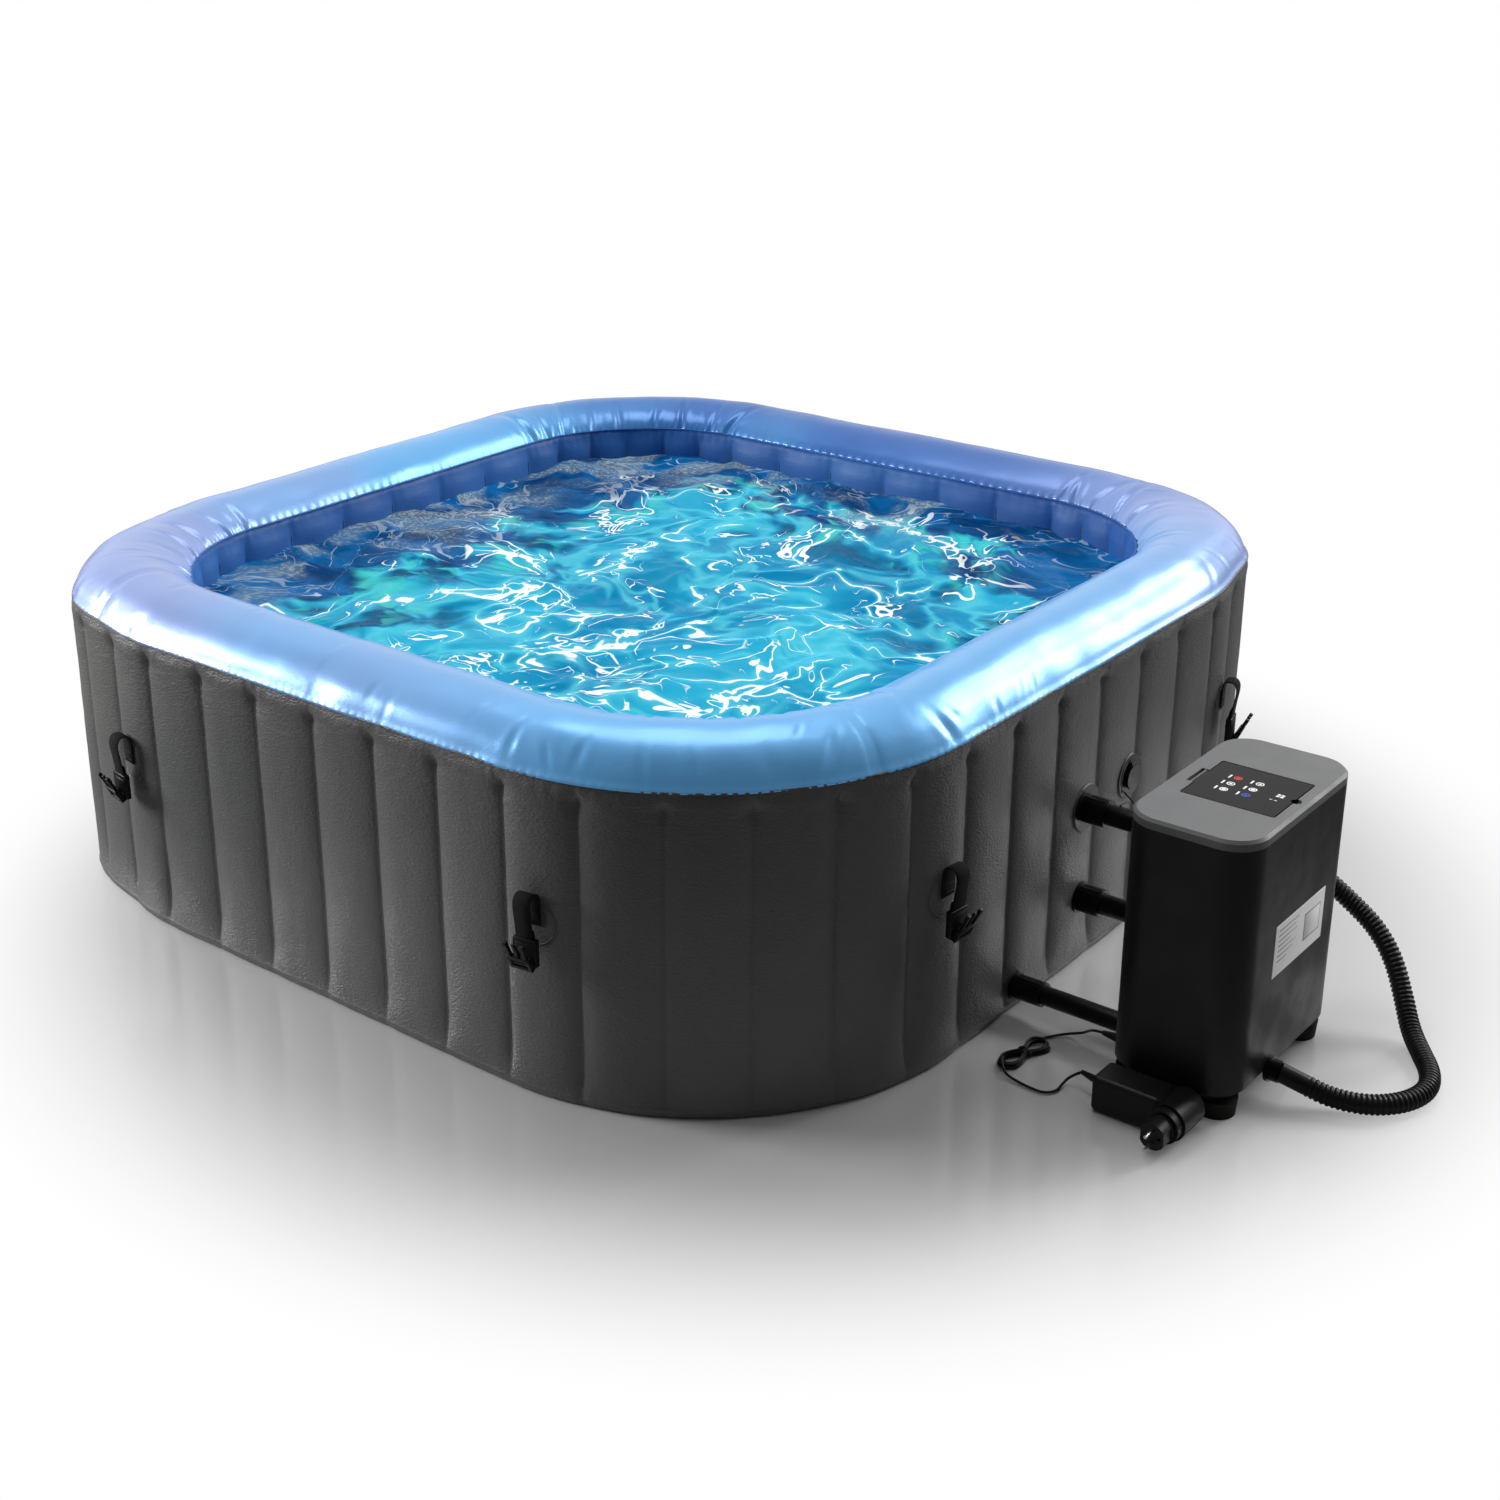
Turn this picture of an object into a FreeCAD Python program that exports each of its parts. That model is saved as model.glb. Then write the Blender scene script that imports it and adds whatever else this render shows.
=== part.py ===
"""Inflatable square hot tub with its pump unit, air hose, mains lead and plug.

Millimetres, +Z up.  The origin is the middle of the tub's underside, on the ground.
The pump unit stands on the +X side.  The wall is an air chamber between two PVC skins that
radial bands tie together, so each skin shows a row of upright channels.
"""
import FreeCAD, Part
import math
import os

V = FreeCAD.Vector
UP = V(0, 0, 1)

# ---- tub: driving dimensions ------------------------------------------------------------
HALF = 785.0            # half width over the outer skin
CORNER = 440.0          # plan radius of the outer skin at the corners
WALL = 165.0            # air chamber, outer skin to inner skin
SEAM_OUT = 469.0        # height of the weld between outer skin and rim
SEAM_IN = 487.0         # height of the weld between inner skin and rim
RIM_MID = 454.0         # height of the rim tube's middle
RIM_RISE = 76.0         # rim tube's half height
RIM_REACH = 83.0        # rim tube's half width
SKIN = 1.5              # PVC sheet
BASE = 2.0              # ground sheet
WELD = 3.0              # height of a welded lip
BULGE = 9.0             # how far a channel swells beyond its grooves
GROOVE = 6.0            # how far a groove lies inside HALF
PITCH = 120.0           # channel width along the straight sides
SIDE_SHIFT = (0.0, 25.0, 0.0, 25.0)   # middle groove of each side, off the side's centre
CORNER_CHANNELS = 6
WEB = 1.0               # band between the skins
WEB_Z = (30.0, 450.0)
VENT_R = 40.0           # air passage through each band
VENT_Z = 240.0
LINER_GAP = 1.0
BUBBLE_WIDE = 28.0      # air channel round the foot of the basin
BUBBLE_HIGH = 52.0

# ---- wall fittings ----------------------------------------------------------------------
# name, y, z, pipe radius, nut radius, nut length, flange radius
PORTS = (
    ("upper", -14.0, 252.0, 16.0, 21.0, 36.0, 35.0),
    ("middle", -14.0, 108.0, 16.0, 21.0, 36.0, 24.0),
    ("lower", -190.0, 38.0, 14.0, 18.0, 44.0, 21.0),
)
FLANGE = 2.5
PORT_WALL = 3.0
GAP = 0.3
PORT_THREAD = 14.0      # how far a port's thread stands out of the wall
SEAL = 3.0              # seal between port and pipe
NUT_RIBS = 16
OUT_FACE = HALF + 3.2   # plane that wall fittings sit on, just clear of the channel crests
IN_FACE = HALF - WALL - 4.9
SOCKET = 15.0           # how far the pipes reach into the pump unit
FILTER_R, FILTER_LONG = 46.0, 90.0
FILTER_SLOTS = 12
CARTRIDGE_BORE = 18.0
GRILLE_R, GRILLE_LONG = 32.0, 11.0
GRILLE_PITCH, GRILLE_SLOT = 9.0, 5.0
VALVE_Y, VALVE_Z, VALVE_R = 118.0, 256.0, 19.0
VALVE_FLANGE, CAP_THICK = 34.0, 3.5
DRAIN_Y, DRAIN_Z, DRAIN_R = 0.0, 62.0, 20.0
DRAIN_CAP_LONG, DRAIN_GRIPS = 15.0, 12

# ---- carry straps: distance along the perimeter from the middle of each side -------------
STRAP_OFFSETS = ((-425.0, 410.0), (-385.0, 445.0), (-425.0, 410.0), (-385.0, 445.0))
SIDE_NAMES = ("front", "right", "back", "left")
STRAP_Z = 262.0         # middle of the patch
FOLD_Z = 300.0          # where the webbing folds outwards
STRAP_TAB = 40.0        # length sewn down on the patch
PATCH_R, PATCH = 33.0, 1.0
STRAP_WIDE, STRAP_THICK = 28.0, 1.6
BUCKLE_WIDE, BUCKLE_LONG, BUCKLE_THICK = 36.0, 40.0, 10.0
PRONG_LONG = 52.0       # the buckle's pronged half
BUCKLE_TILT = 27.0      # angle between the open buckle's two halves, degrees

# ---- pump unit --------------------------------------------------------------------------
PX, PY = 1071.0, -126.0     # middle of the unit
PD, PW = 182.0, 328.0       # size along X and along Y
PR = 48.0                   # radius of the upright corners
PZ0, PZ1 = 24.0, 404.0      # underside and top
TRAY_TOP = 52.0             # joint between base tray and case
LID_Z = 390.0               # joint between case and lid
CASE = 3.0
CHAMFER = 15.0
BEVEL = 4.0
FOOT_R, FOOT_INSET_X, FOOT_INSET_Y = 28.0, 33.0, 38.0
# control recess in the lid, its panel, keys and flip cover
REC_X, REC_Y, REC_DEEP = 132.0, 128.0, 7.0
REC_MID_X = 1078.0
PANEL = 2.2
COVER = 2.6
COVER_X, COVER_Y = 128.0, 124.0
PIN_R, BARREL_R = 1.2, 3.0
BARREL_X, BARREL_Z, BARREL_LONG = 1007.0, 400.6, 46.0
KEY_R, STEM_R, KEY_TRAVEL = 6.0, 2.0, 0.5
KEY_NAMES = ("power", "heat", "bubble", "filter", "up", "down")
KEY_CAP = 0.7
KEY_ROW, KEY_COLUMN = 30.0, 35.2      # spacing along X and along Y
KEY_SHIFT = -8.0
NOTCH_R = 6.0           # finger notch in the cover's edge
BOARD_Z = 378.0

# ---- machinery inside the unit ----------------------------------------------------------
# control board parts: x and y from the unit's middle, size along x, along y, height
BOARD_PARTS = ((-30, -30, 24, 24, 4), (20, -20, 30, 14, 8), (10, 35, 18, 18, 5))
ROTOR_DISC = 4.0
PUMP_Y, PUMP_Z = -204.0, 62.0
VOLUTE_R, VOLUTE_HIGH = 50.0, 46.0
MOTOR_R, MOTOR_HIGH = 40.0, 110.0
SHAFT_R = 5.0
HEATER_Y, HEATER_R, HEATER_HIGH = -38.0, 30.0, 190.0
BLOWER_Y, BLOWER_Z = -66.0, 285.0
DRUM_R, DRUM_HIGH = 72.0, 70.0

# ---- air hose, mains lead, adapter ------------------------------------------------------
HOSE_D = 28.0
CABLE_D = 4.0
TETHER_D = 3.0
HOSE_ROUTE = (
    (1075, 60, 200), (1078, 98, 197), (1098, 128, 180), (1138, 140, 147), (1178, 135, 122),
    (1212, 120, 90), (1238, 100, 50), (1264, 68, 20), (1295, 28, 14.5), (1325, -14, 14.5),
    (1338, -58, 14.5), (1326, -104, 14.5), (1293, -140, 14.5), (1248, -158, 17),
    (1212, -166, 28), (1180, -170, 36),
)
CABLE_ROUTE = (
    (950, -232, 40), (934, -226, 35), (919, -212, 22), (904, -202, 8), (886, -207, 3),
    (872, -224, 5), (866, -243, 8),
)
LEAD_ROUTE = (
    (861, -341, 8), (872, -353, 4), (894, -359, 2.5), (916, -362, 2.5), (935, -361, 2.5),
    (946, -347, 2.5), (944, -329, 4), (949, -314, 12), (964, -312, 22),
)
TETHER_ROUTE = (
    (791, 99, 237), (802, 97, 231), (813, 90, 228), (822, 73, 231), (829, 52, 244),
    (835, 30, 258), (840, 8, 267), (842, -12, 269.6),
)
HANK_MID = V(864.5, -293.0, 0)
HANK_HALF, HANK_LOBE, HANK_WAIST, HANK_HIGH = 52.0, 19.0, 9.0, 15.0
HANK_SHOULDER, HANK_TURN = 5.0, -10.0
ADAPTER = (1000.0, 1098.0, -357.0, -305.0, 0.5, 52.0)
PLUG_X, PLUG_Z = 1112.0, 27.0
PLUG_RIM, PLUG_STEP, PLUG_NOSE = 26.0, 23.0, 18.5
PIN_GAP, PIN_LONG, PIN_DIA = 19.0, 19.0, 4.8
EARTH_R = 2.5
RELIEF_Y, RELIEF_Z = -327.0, 27.0

QUARTER = 2 * (HALF - CORNER) + CORNER * math.pi / 2
STRAIGHT = HALF - CORNER


# ---- small helpers ----------------------------------------------------------------------
def box(x0, x1, y0, y1, z0, z1):
    """Block between two corners."""
    return Part.makeBox(x1 - x0, y1 - y0, z1 - z0, V(x0, y0, z0))


def rod(start, end, radius):
    """Cylinder from one point to another."""
    axis = end - start
    return Part.makeCylinder(radius, axis.Length, start, axis)


def tube(start, end, outer, inner):
    """Hollow cylinder from one point to another."""
    return rod(start, end, outer).cut(rod(start, end, inner))


def rounded_plate(mid_x, mid_y, long_x, long_y, radius, z0, z1):
    """Plate with rounded upright corners."""
    plate = box(mid_x - long_x / 2, mid_x + long_x / 2, mid_y - long_y / 2, mid_y + long_y / 2, z0, z1)
    upright = [e for e in plate.Edges if abs(e.Vertexes[0].Z - e.Vertexes[-1].Z) > 0.5 * (z1 - z0)]
    return plate.makeFillet(radius, upright)


def turned(shape, quarter_turns):
    """Copy turned about the tub's middle by quarter turns."""
    copy = shape.copy()
    copy.rotate(V(0, 0, 0), UP, 90.0 * quarter_turns)
    return copy


def save(name, shape):
    """One STEP file, named as its node."""
    solids = shape.Solids
    if not shape.isValid() or not solids:
        raise RuntimeError(name + " is not a valid solid")
    whole = solids[0] if len(solids) == 1 else Part.makeCompound(solids)
    whole.exportStep("parts/" + name + ".step")
    size = whole.BoundBox
    print("%-22s %2d solids %9.1f cm3   x %.0f..%.0f  y %.0f..%.0f  z %.1f..%.1f" % (
        name, len(solids), whole.Volume / 1000, size.XMin, size.XMax, size.YMin, size.YMax,
        size.ZMin, size.ZMax))


# ---- the plan: a square with round corners, walked by distance ---------------------------
def perimeter(distance, inset):
    """Point and outward normal at a distance from the middle of the front side."""
    side = math.floor((distance + STRAIGHT) / QUARTER)
    along = distance - side * QUARTER
    if along <= STRAIGHT:
        point = V(along, -(HALF - inset), 0)
        normal = V(0, -1, 0)
    else:
        turn = (along - STRAIGHT) / CORNER
        normal = V(math.sin(turn), -math.cos(turn), 0)
        point = V(STRAIGHT, -STRAIGHT, 0) + normal * (CORNER - inset)
    spin = FreeCAD.Rotation(UP, 90.0 * side)
    return spin.multVec(point), spin.multVec(normal)


def groove_stations():
    """Distances of all grooves: even on the sides, evenly shared round each corner."""
    stations = []
    for side in range(4):
        middle = side * QUARTER + SIDE_SHIFT[side]
        stations += [middle + i * PITCH for i in range(-3, 4)]
        begin = middle + 3 * PITCH
        end = (side + 1) * QUARTER + SIDE_SHIFT[(side + 1) % 4] - 3 * PITCH
        step = (end - begin) / CORNER_CHANNELS
        stations += [begin + step * i for i in range(1, CORNER_CHANNELS)]
    return stations


GROOVES = groove_stations()


def channel_outline(groove_inset, crest_inset):
    """Closed face whose edge is one arc per channel."""
    edges = []
    count = len(GROOVES)
    for i in range(count):
        here = GROOVES[i]
        there = GROOVES[(i + 1) % count] + (4 * QUARTER if i == count - 1 else 0)
        first = perimeter(here, groove_inset)[0]
        middle = perimeter((here + there) / 2, crest_inset)[0]
        last = perimeter(there, groove_inset)[0]
        edges.append(Part.Arc(first, middle, last).toShape())
    return Part.Face(Part.Wire(edges))


def channel_skin(groove_inset, crest_inset, z0, z1):
    """Sheet wall with channels, SKIN thick towards the tub's middle."""
    outer = channel_outline(groove_inset, crest_inset)
    inner = channel_outline(groove_inset + SKIN, crest_inset + SKIN)
    skin = outer.cut(inner)
    skin.translate(V(0, 0, z0))
    return skin.extrude(V(0, 0, z1 - z0))


def ring(profile):
    """Profile face drawn at the start of the +X side, carried once round the tub."""
    start = V(0, -STRAIGHT, 0)
    base = profile.copy()
    base.translate(V(STRAIGHT, 0, 0) + start)
    side = base.extrude(V(0, 2 * STRAIGHT, 0))
    end = base.copy()
    end.translate(V(0, 2 * STRAIGHT, 0))
    corner = end.revolve(V(STRAIGHT, STRAIGHT, 0), UP, 90)
    pieces = [turned(p, k) for k in range(4) for p in (side, corner)]
    return pieces[0].multiFuse(pieces[1:]).removeSplitter()


def section(x0, x1, z0, z1):
    """Rectangle in the XZ plane, x measured from the corner's centre."""
    points = [V(x0, 0, z0), V(x1, 0, z0), V(x1, 0, z1), V(x0, 0, z1), V(x0, 0, z0)]
    return Part.Face(Part.makePolygon(points))


def oval(reach, rise):
    """Rim section as a full oval face."""
    middle = V(CORNER - RIM_REACH, 0, RIM_MID)
    if reach >= rise:
        curve = Part.Ellipse(middle + V(reach, 0, 0), middle + V(0, 0, rise), middle)
    else:
        curve = Part.Ellipse(middle + V(0, 0, rise), middle + V(reach, 0, 0), middle)
    return Part.Face(Part.Wire(curve.toShape()))


# ---- tub ---------------------------------------------------------------------------------
def port_holes():
    """Through cutters for the three wall ports."""
    cutters = [rod(V(560, y, z), V(840, y, z), r + 1.0 + GAP) for _, y, z, r, _, _, _ in PORTS]
    return cutters[0].multiFuse(cutters[1:])


def tub_parts():
    """Skins, rim, welded lips, sheets, bands and bubble ring."""
    holes = port_holes()
    valve_hole = rod(V(740, VALVE_Y, VALVE_Z), V(840, VALVE_Y, VALVE_Z), VALVE_R - 3 + GAP)
    drain_hole = rod(V(-560, DRAIN_Y, DRAIN_Z), V(-840, DRAIN_Y, DRAIN_Z), DRAIN_R - 6 + GAP)
    outer = channel_skin(GROOVE, GROOVE - BULGE, BASE, SEAM_OUT - WELD)
    outer = outer.cut(holes).cut(valve_hole).cut(drain_hole)
    inner_groove = WALL - 5.0
    inner = channel_skin(inner_groove, inner_groove + BULGE - SKIN, BASE, SEAM_IN - WELD)
    inner = inner.cut(holes).cut(drain_hole)
    shell = oval(RIM_REACH, RIM_RISE).cut(oval(RIM_REACH - SKIN, RIM_RISE - SKIN))
    middle = CORNER - RIM_REACH
    keep = section(middle, CORNER + 20, SEAM_OUT, 600).fuse(section(middle - 120, middle, SEAM_IN, 600))
    rim = ring(shell.common(keep.removeSplitter()))
    lip_out = ring(section(CORNER - 15, CORNER + 4, SEAM_OUT - WELD, SEAM_OUT))
    lip_in_x = CORNER - WALL
    lip_in = ring(section(lip_in_x - 4, lip_in_x + 15, SEAM_IN - WELD, SEAM_IN))
    save("outer_wall", outer)
    save("inner_wall", inner)
    save("rim", rim)
    save("seam_welds", Part.makeCompound([lip_out, lip_in]))
    base = rounded_plate(0, 0, 2 * (HALF - GROOVE), 2 * (HALF - GROOVE), CORNER - GROOVE, 0, BASE)
    save("base_sheet", base)
    foot = CORNER - WALL - BULGE - LINER_GAP
    floor_side = 2 * (STRAIGHT + foot)
    liner = rounded_plate(0, 0, floor_side, floor_side, foot, BASE, BASE + SKIN)
    save("floor_liner", liner)
    webs = []
    for station in GROOVES:
        far, normal = perimeter(station, GROOVE + SKIN)
        near = perimeter(station, inner_groove)[0]
        depth = (far - near).Length
        web = box(0, depth, -WEB / 2, WEB / 2, WEB_Z[0], WEB_Z[1])
        vent = rod(V(depth / 2, -5, VENT_Z), V(depth / 2, 5, VENT_Z), VENT_R)
        web = web.cut(vent)
        web.rotate(V(0, 0, 0), UP, math.degrees(math.atan2(normal.y, normal.x)))
        web.translate(near)
        webs.append(web)
    save("internal_webs", Part.makeCompound(webs))
    tunnel = section(foot - BUBBLE_WIDE, foot, BASE + SKIN, BASE + SKIN + BUBBLE_HIGH)
    bore = section(foot - BUBBLE_WIDE + SKIN, foot - SKIN, BASE + 2 * SKIN, BASE + BUBBLE_HIGH)
    _, y, z, r, _, _, _ = PORTS[2]
    inlet = rod(V(STRAIGHT + foot - 2 * SKIN, y, z), V(HALF, y, z), r + 1.0 + GAP)
    save("bubble_ring", ring(tunnel.cut(bore)).cut(inlet))


# ---- wall fittings -----------------------------------------------------------------------
def port_parts():
    """Three through-wall ports, their union nuts, seals and pipes to the pump unit."""
    ports = []
    pipes = []
    seals = []
    thread_end = OUT_FACE + PORT_THREAD
    pipe_end = PX - PD / 2 + SOCKET
    for name, y, z, pipe_r, nut_r, nut_long, flange_r in PORTS:
        bore_r = pipe_r - PORT_WALL
        inner_end = IN_FACE - FLANGE
        body = rod(V(OUT_FACE, y, z), V(OUT_FACE + FLANGE, y, z), flange_r)
        if name == "lower":
            inner_end -= FLANGE + SKIN + GAP
        else:
            body = body.fuse(rod(V(inner_end, y, z), V(IN_FACE, y, z), flange_r - 5))
        body = body.fuse(rod(V(inner_end, y, z), V(thread_end, y, z), pipe_r + 1.0))
        ports.append(body.cut(rod(V(inner_end - 1, y, z), V(thread_end + 1, y, z), bore_r)))
        nut_x = OUT_FACE + FLANGE + GAP
        nut = rod(V(nut_x, y, z), V(nut_x + nut_long, y, z), nut_r)
        for k in range(NUT_RIBS):
            angle = 2 * math.pi * k / NUT_RIBS
            spot = V(0, (nut_r + 0.4) * math.cos(angle), (nut_r + 0.4) * math.sin(angle))
            cut_from = V(nut_x + 4, y, z) + spot
            nut = nut.cut(rod(cut_from, cut_from + V(nut_long - 8, 0, 0), 1.4))
        nut = nut.cut(rod(V(nut_x - 1, y, z), V(nut_x + nut_long - 6, y, z), pipe_r + 1.0 + GAP))
        nut = nut.cut(rod(V(nut_x - 1, y, z), V(nut_x + nut_long + 1, y, z), pipe_r + GAP))
        save(name + "_nut", nut)
        seals.append(tube(V(thread_end, y, z), V(thread_end + SEAL, y, z), pipe_r, bore_r))
        pipes.append(tube(V(thread_end + SEAL, y, z), V(pipe_end, y, z), pipe_r, bore_r))
    save("wall_ports", Part.makeCompound(ports))
    save("port_seals", Part.makeCompound(seals))
    save("connecting_pipes", Part.makeCompound(pipes))


def basin_parts():
    """Filter on the middle port and outlet grille on the upper port, inside the basin."""
    _, y, z, _, _, _, _ = PORTS[1]
    back = IN_FACE - FLANGE
    front = back - FILTER_LONG
    shell = tube(V(front, y, z), V(back, y, z), FILTER_R, FILTER_R - 3)
    shell = shell.fuse(tube(V(back - 3, y, z), V(back, y, z), FILTER_R, PORTS[1][3] - PORT_WALL))
    for k in range(FILTER_SLOTS):
        slot = box(front + 12, back - 12, y - 3, y + 3, z, z + FILTER_R + 4)
        slot.rotate(V(0, y, z), V(1, 0, 0), 360 * k / FILTER_SLOTS)
        shell = shell.cut(slot)
    save("filter_housing", shell)
    pleats = tube(V(front + 4, y, z), V(back - 4, y, z), FILTER_R - 5, CARTRIDGE_BORE)
    save("filter_cartridge", pleats)
    _, y, z, _, _, _, _ = PORTS[0]
    front = back - GRILLE_LONG
    grille = rod(V(front, y, z), V(back, y, z), GRILLE_R)
    grille = grille.cut(rod(V(front + FLANGE, y, z), V(back + 1, y, z), GRILLE_R - 2))
    for k in range(-2, 3):
        reach = GRILLE_R - 10 - abs(k) * 4
        middle = z + k * GRILLE_PITCH
        low = middle - GRILLE_SLOT / 2
        slot = box(front - 1, front + FLANGE + 1, y - reach, y + reach, low, low + GRILLE_SLOT)
        grille = grille.cut(slot)
    save("return_grille", grille)


def valve_parts():
    """Air valve with a flip cap and tether; drain valve with a screw cap."""
    y, z, r = VALVE_Y, VALVE_Z, VALVE_R
    body = rod(V(OUT_FACE, y, z), V(OUT_FACE + SKIN, y, z), VALVE_FLANGE)
    body = body.fuse(rod(V(OUT_FACE - 22, y, z), V(OUT_FACE + 4, y, z), r - 3))
    body = body.cut(rod(V(OUT_FACE - 30, y, z), V(OUT_FACE + 9, y, z), r - 6))
    save("air_valve", body)
    cap_x = OUT_FACE + 4 + GAP
    cap = rod(V(cap_x, y, z), V(cap_x + CAP_THICK, y, z), r)
    cap = cap.fuse(box(cap_x, cap_x + 2.0, y - 6, y + 6, z + r - 4, z + r + 6))
    save("air_valve_cap", cap)
    y, z, r = DRAIN_Y, DRAIN_Z, DRAIN_R
    inner = -IN_FACE
    body = rod(V(-OUT_FACE, y, z), V(-OUT_FACE - FLANGE, y, z), r + 8)
    body = body.fuse(rod(V(inner, y, z), V(-OUT_FACE - PORT_THREAD, y, z), r - 6))
    body = body.fuse(rod(V(inner, y, z), V(inner + FLANGE, y, z), r + 2))
    body = body.cut(rod(V(inner + 20, y, z), V(-OUT_FACE - 20, y, z), r - 9))
    save("drain_valve", body)
    cap_start = V(-OUT_FACE - FLANGE - GAP, y, z)
    cap = rod(cap_start, cap_start - V(DRAIN_CAP_LONG, 0, 0), r)
    cap = cap.cut(rod(cap_start + V(1, 0, 0), cap_start - V(DRAIN_CAP_LONG - 3, 0, 0), r - 6 + GAP))
    for k in range(DRAIN_GRIPS):
        angle = 2 * math.pi * k / DRAIN_GRIPS
        spot = V(0, (r + 0.6) * math.cos(angle), (r + 0.6) * math.sin(angle))
        groove_from = cap_start + spot - V(3, 0, 0)
        cap = cap.cut(rod(groove_from, groove_from - V(DRAIN_CAP_LONG, 0, 0), 2))
    save("drain_cap", cap)


def strap_shape():
    """Sewn-down tab, hanging webbing and open side-release buckle, +X away from the wall.

    The origin is the fold line at the tab's top, on the patch's face.
    """
    half = STRAP_WIDE / 2
    t = STRAP_THICK
    near = t + 0.4
    tab = box(0, t, -half, half, -STRAP_TAB, 0)
    outer = [V(near, 0, -4), V(near, 0, 0), V(6, 0, 6), V(14, 0, 8), V(22, 0, 5), V(26, 0, -3), V(19, 0, -52)]
    inner = [V(19 - t, 0, -52), V(26 - t, 0, -3), V(21.2, 0, 3.6), V(14, 0, 8 - t), V(6.8, 0, 6 - t),
             V(near + t, 0, -0.7), V(near + t, 0, -4)]
    webbing = Part.Face(Part.makePolygon(outer + inner + outer[:1])).extrude(V(0, STRAP_WIDE, 0))
    webbing.translate(V(0, -half, 0))
    socket_half = BUCKLE_WIDE / 2
    female = box(12, 12 + BUCKLE_THICK, -socket_half, socket_half, -52 - BUCKLE_LONG, -52)
    female = female.makeFillet(2.5, [e for e in female.Edges if e.BoundBox.ZLength > BUCKLE_LONG - 10])
    male = box(-4, 4, 1 - socket_half, socket_half - 1, 0, 24).fuse(box(-2, 2, -2.5, 2.5, 23, PRONG_LONG))
    for side in (-1, 1):
        prong = side * (socket_half - 5.5)
        male = male.fuse(box(-2.5, 2.5, prong - 2.5, prong + 2.5, 23, PRONG_LONG - 2))
    male.rotate(V(0, 0, 0), V(0, 1, 0), BUCKLE_TILT)
    male.translate(V(24, 0, -54 - BUCKLE_LONG))
    male = male.cut(box(10, 12.3 + BUCKLE_THICK, -socket_half - 1, socket_half + 1, -60 - BUCKLE_LONG, -50))
    return tab, [webbing, female, male]


def strap_parts():
    """Eight carry straps, two to a side, each on a welded round patch."""
    fixed = []
    for side in range(4):
        for offset in STRAP_OFFSETS[side]:
            point, normal = perimeter(side * QUARTER + offset, GROOVE - BULGE - 0.2)
            angle = math.degrees(math.atan2(normal.y, normal.x))
            middle = point + V(0, 0, STRAP_Z)
            fixed.append(rod(middle, middle + normal * PATCH, PATCH_R))
            tab, moving = strap_shape()
            for solid in [tab] + moving:
                solid.rotate(V(0, 0, 0), UP, angle)
                solid.translate(point + normal * PATCH + V(0, 0, FOLD_Z))
            fixed.append(tab)
            end = "start" if offset < 0 else "end"
            save("strap_" + SIDE_NAMES[side] + "_" + end, Part.makeCompound(moving))
    save("strap_patches", Part.makeCompound(fixed))


# ---- pump unit ---------------------------------------------------------------------------
def case_solid(z0, z1, inset=0.0):
    """Block with the unit's plan."""
    return rounded_plate(PX, PY, PD - 2 * inset, PW - 2 * inset, PR - inset, z0, z1)


def pump_shell_parts():
    """Base tray, case, lid and feet."""
    sockets = []
    for _, y, z, pipe_r, _, _, _ in PORTS:
        sockets.append(rod(V(PX - PD / 2 - 1, y, z), V(PX - PD / 2 + SOCKET + 1, y, z), pipe_r + GAP))
    case = case_solid(TRAY_TOP, LID_Z).cut(case_solid(TRAY_TOP - 1, LID_Z + 1, CASE))
    case = case.cut(Part.makeCompound(sockets))
    tray = case_solid(PZ0, TRAY_TOP)
    under = [e for e in tray.Edges if e.BoundBox.ZMax < PZ0 + 0.1]
    tray = tray.makeChamfer(CHAMFER, under)
    tray = tray.cut(case_solid(PZ0 + CHAMFER + 2, TRAY_TOP + 1, CASE)).cut(sockets[2])
    lid = case_solid(LID_Z, PZ1)
    top = [e for e in lid.Edges if e.BoundBox.ZMin > PZ1 - 0.1]
    lid = lid.makeChamfer(BEVEL, top)
    recess = rounded_plate(REC_MID_X, PY, REC_X, REC_Y, 4, PZ1 - REC_DEEP, PZ1 + 1)
    reach = BARREL_LONG / 2 + 1
    notch = box(BARREL_X - 5, REC_MID_X, PY - reach, PY + reach, PZ1 - REC_DEEP, PZ1 + 1)
    dish = rod(V(REC_MID_X + REC_X / 2, PY, PZ1 - 5), V(REC_MID_X + REC_X / 2, PY, PZ1 + 1), NOTCH_R + 2)
    hollow = case_solid(LID_Z - 1, LID_Z + 4, CASE)
    pin_from = V(BARREL_X, PY - BARREL_LONG / 2 - 5, BARREL_Z)
    pin_to = V(BARREL_X, PY + BARREL_LONG / 2 + 5, BARREL_Z)
    lid = lid.cut(recess).cut(notch).cut(dish).cut(hollow).cut(rod(pin_from, pin_to, PIN_R))
    save("pump_case", case)
    save("pump_base", tray)
    save("pump_lid", lid)
    save("cover_pin", rod(pin_from, pin_to, PIN_R))
    feet = []
    for sx in (-1, 1):
        for sy in (-1, 1):
            spot = V(PX + sx * (PD / 2 - FOOT_INSET_X), PY + sy * (PW / 2 - FOOT_INSET_Y), 0)
            feet.append(Part.makeCone(FOOT_R - 2, FOOT_R, PZ0, spot, UP))
    save("pump_feet", Part.makeCompound(feet))


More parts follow.
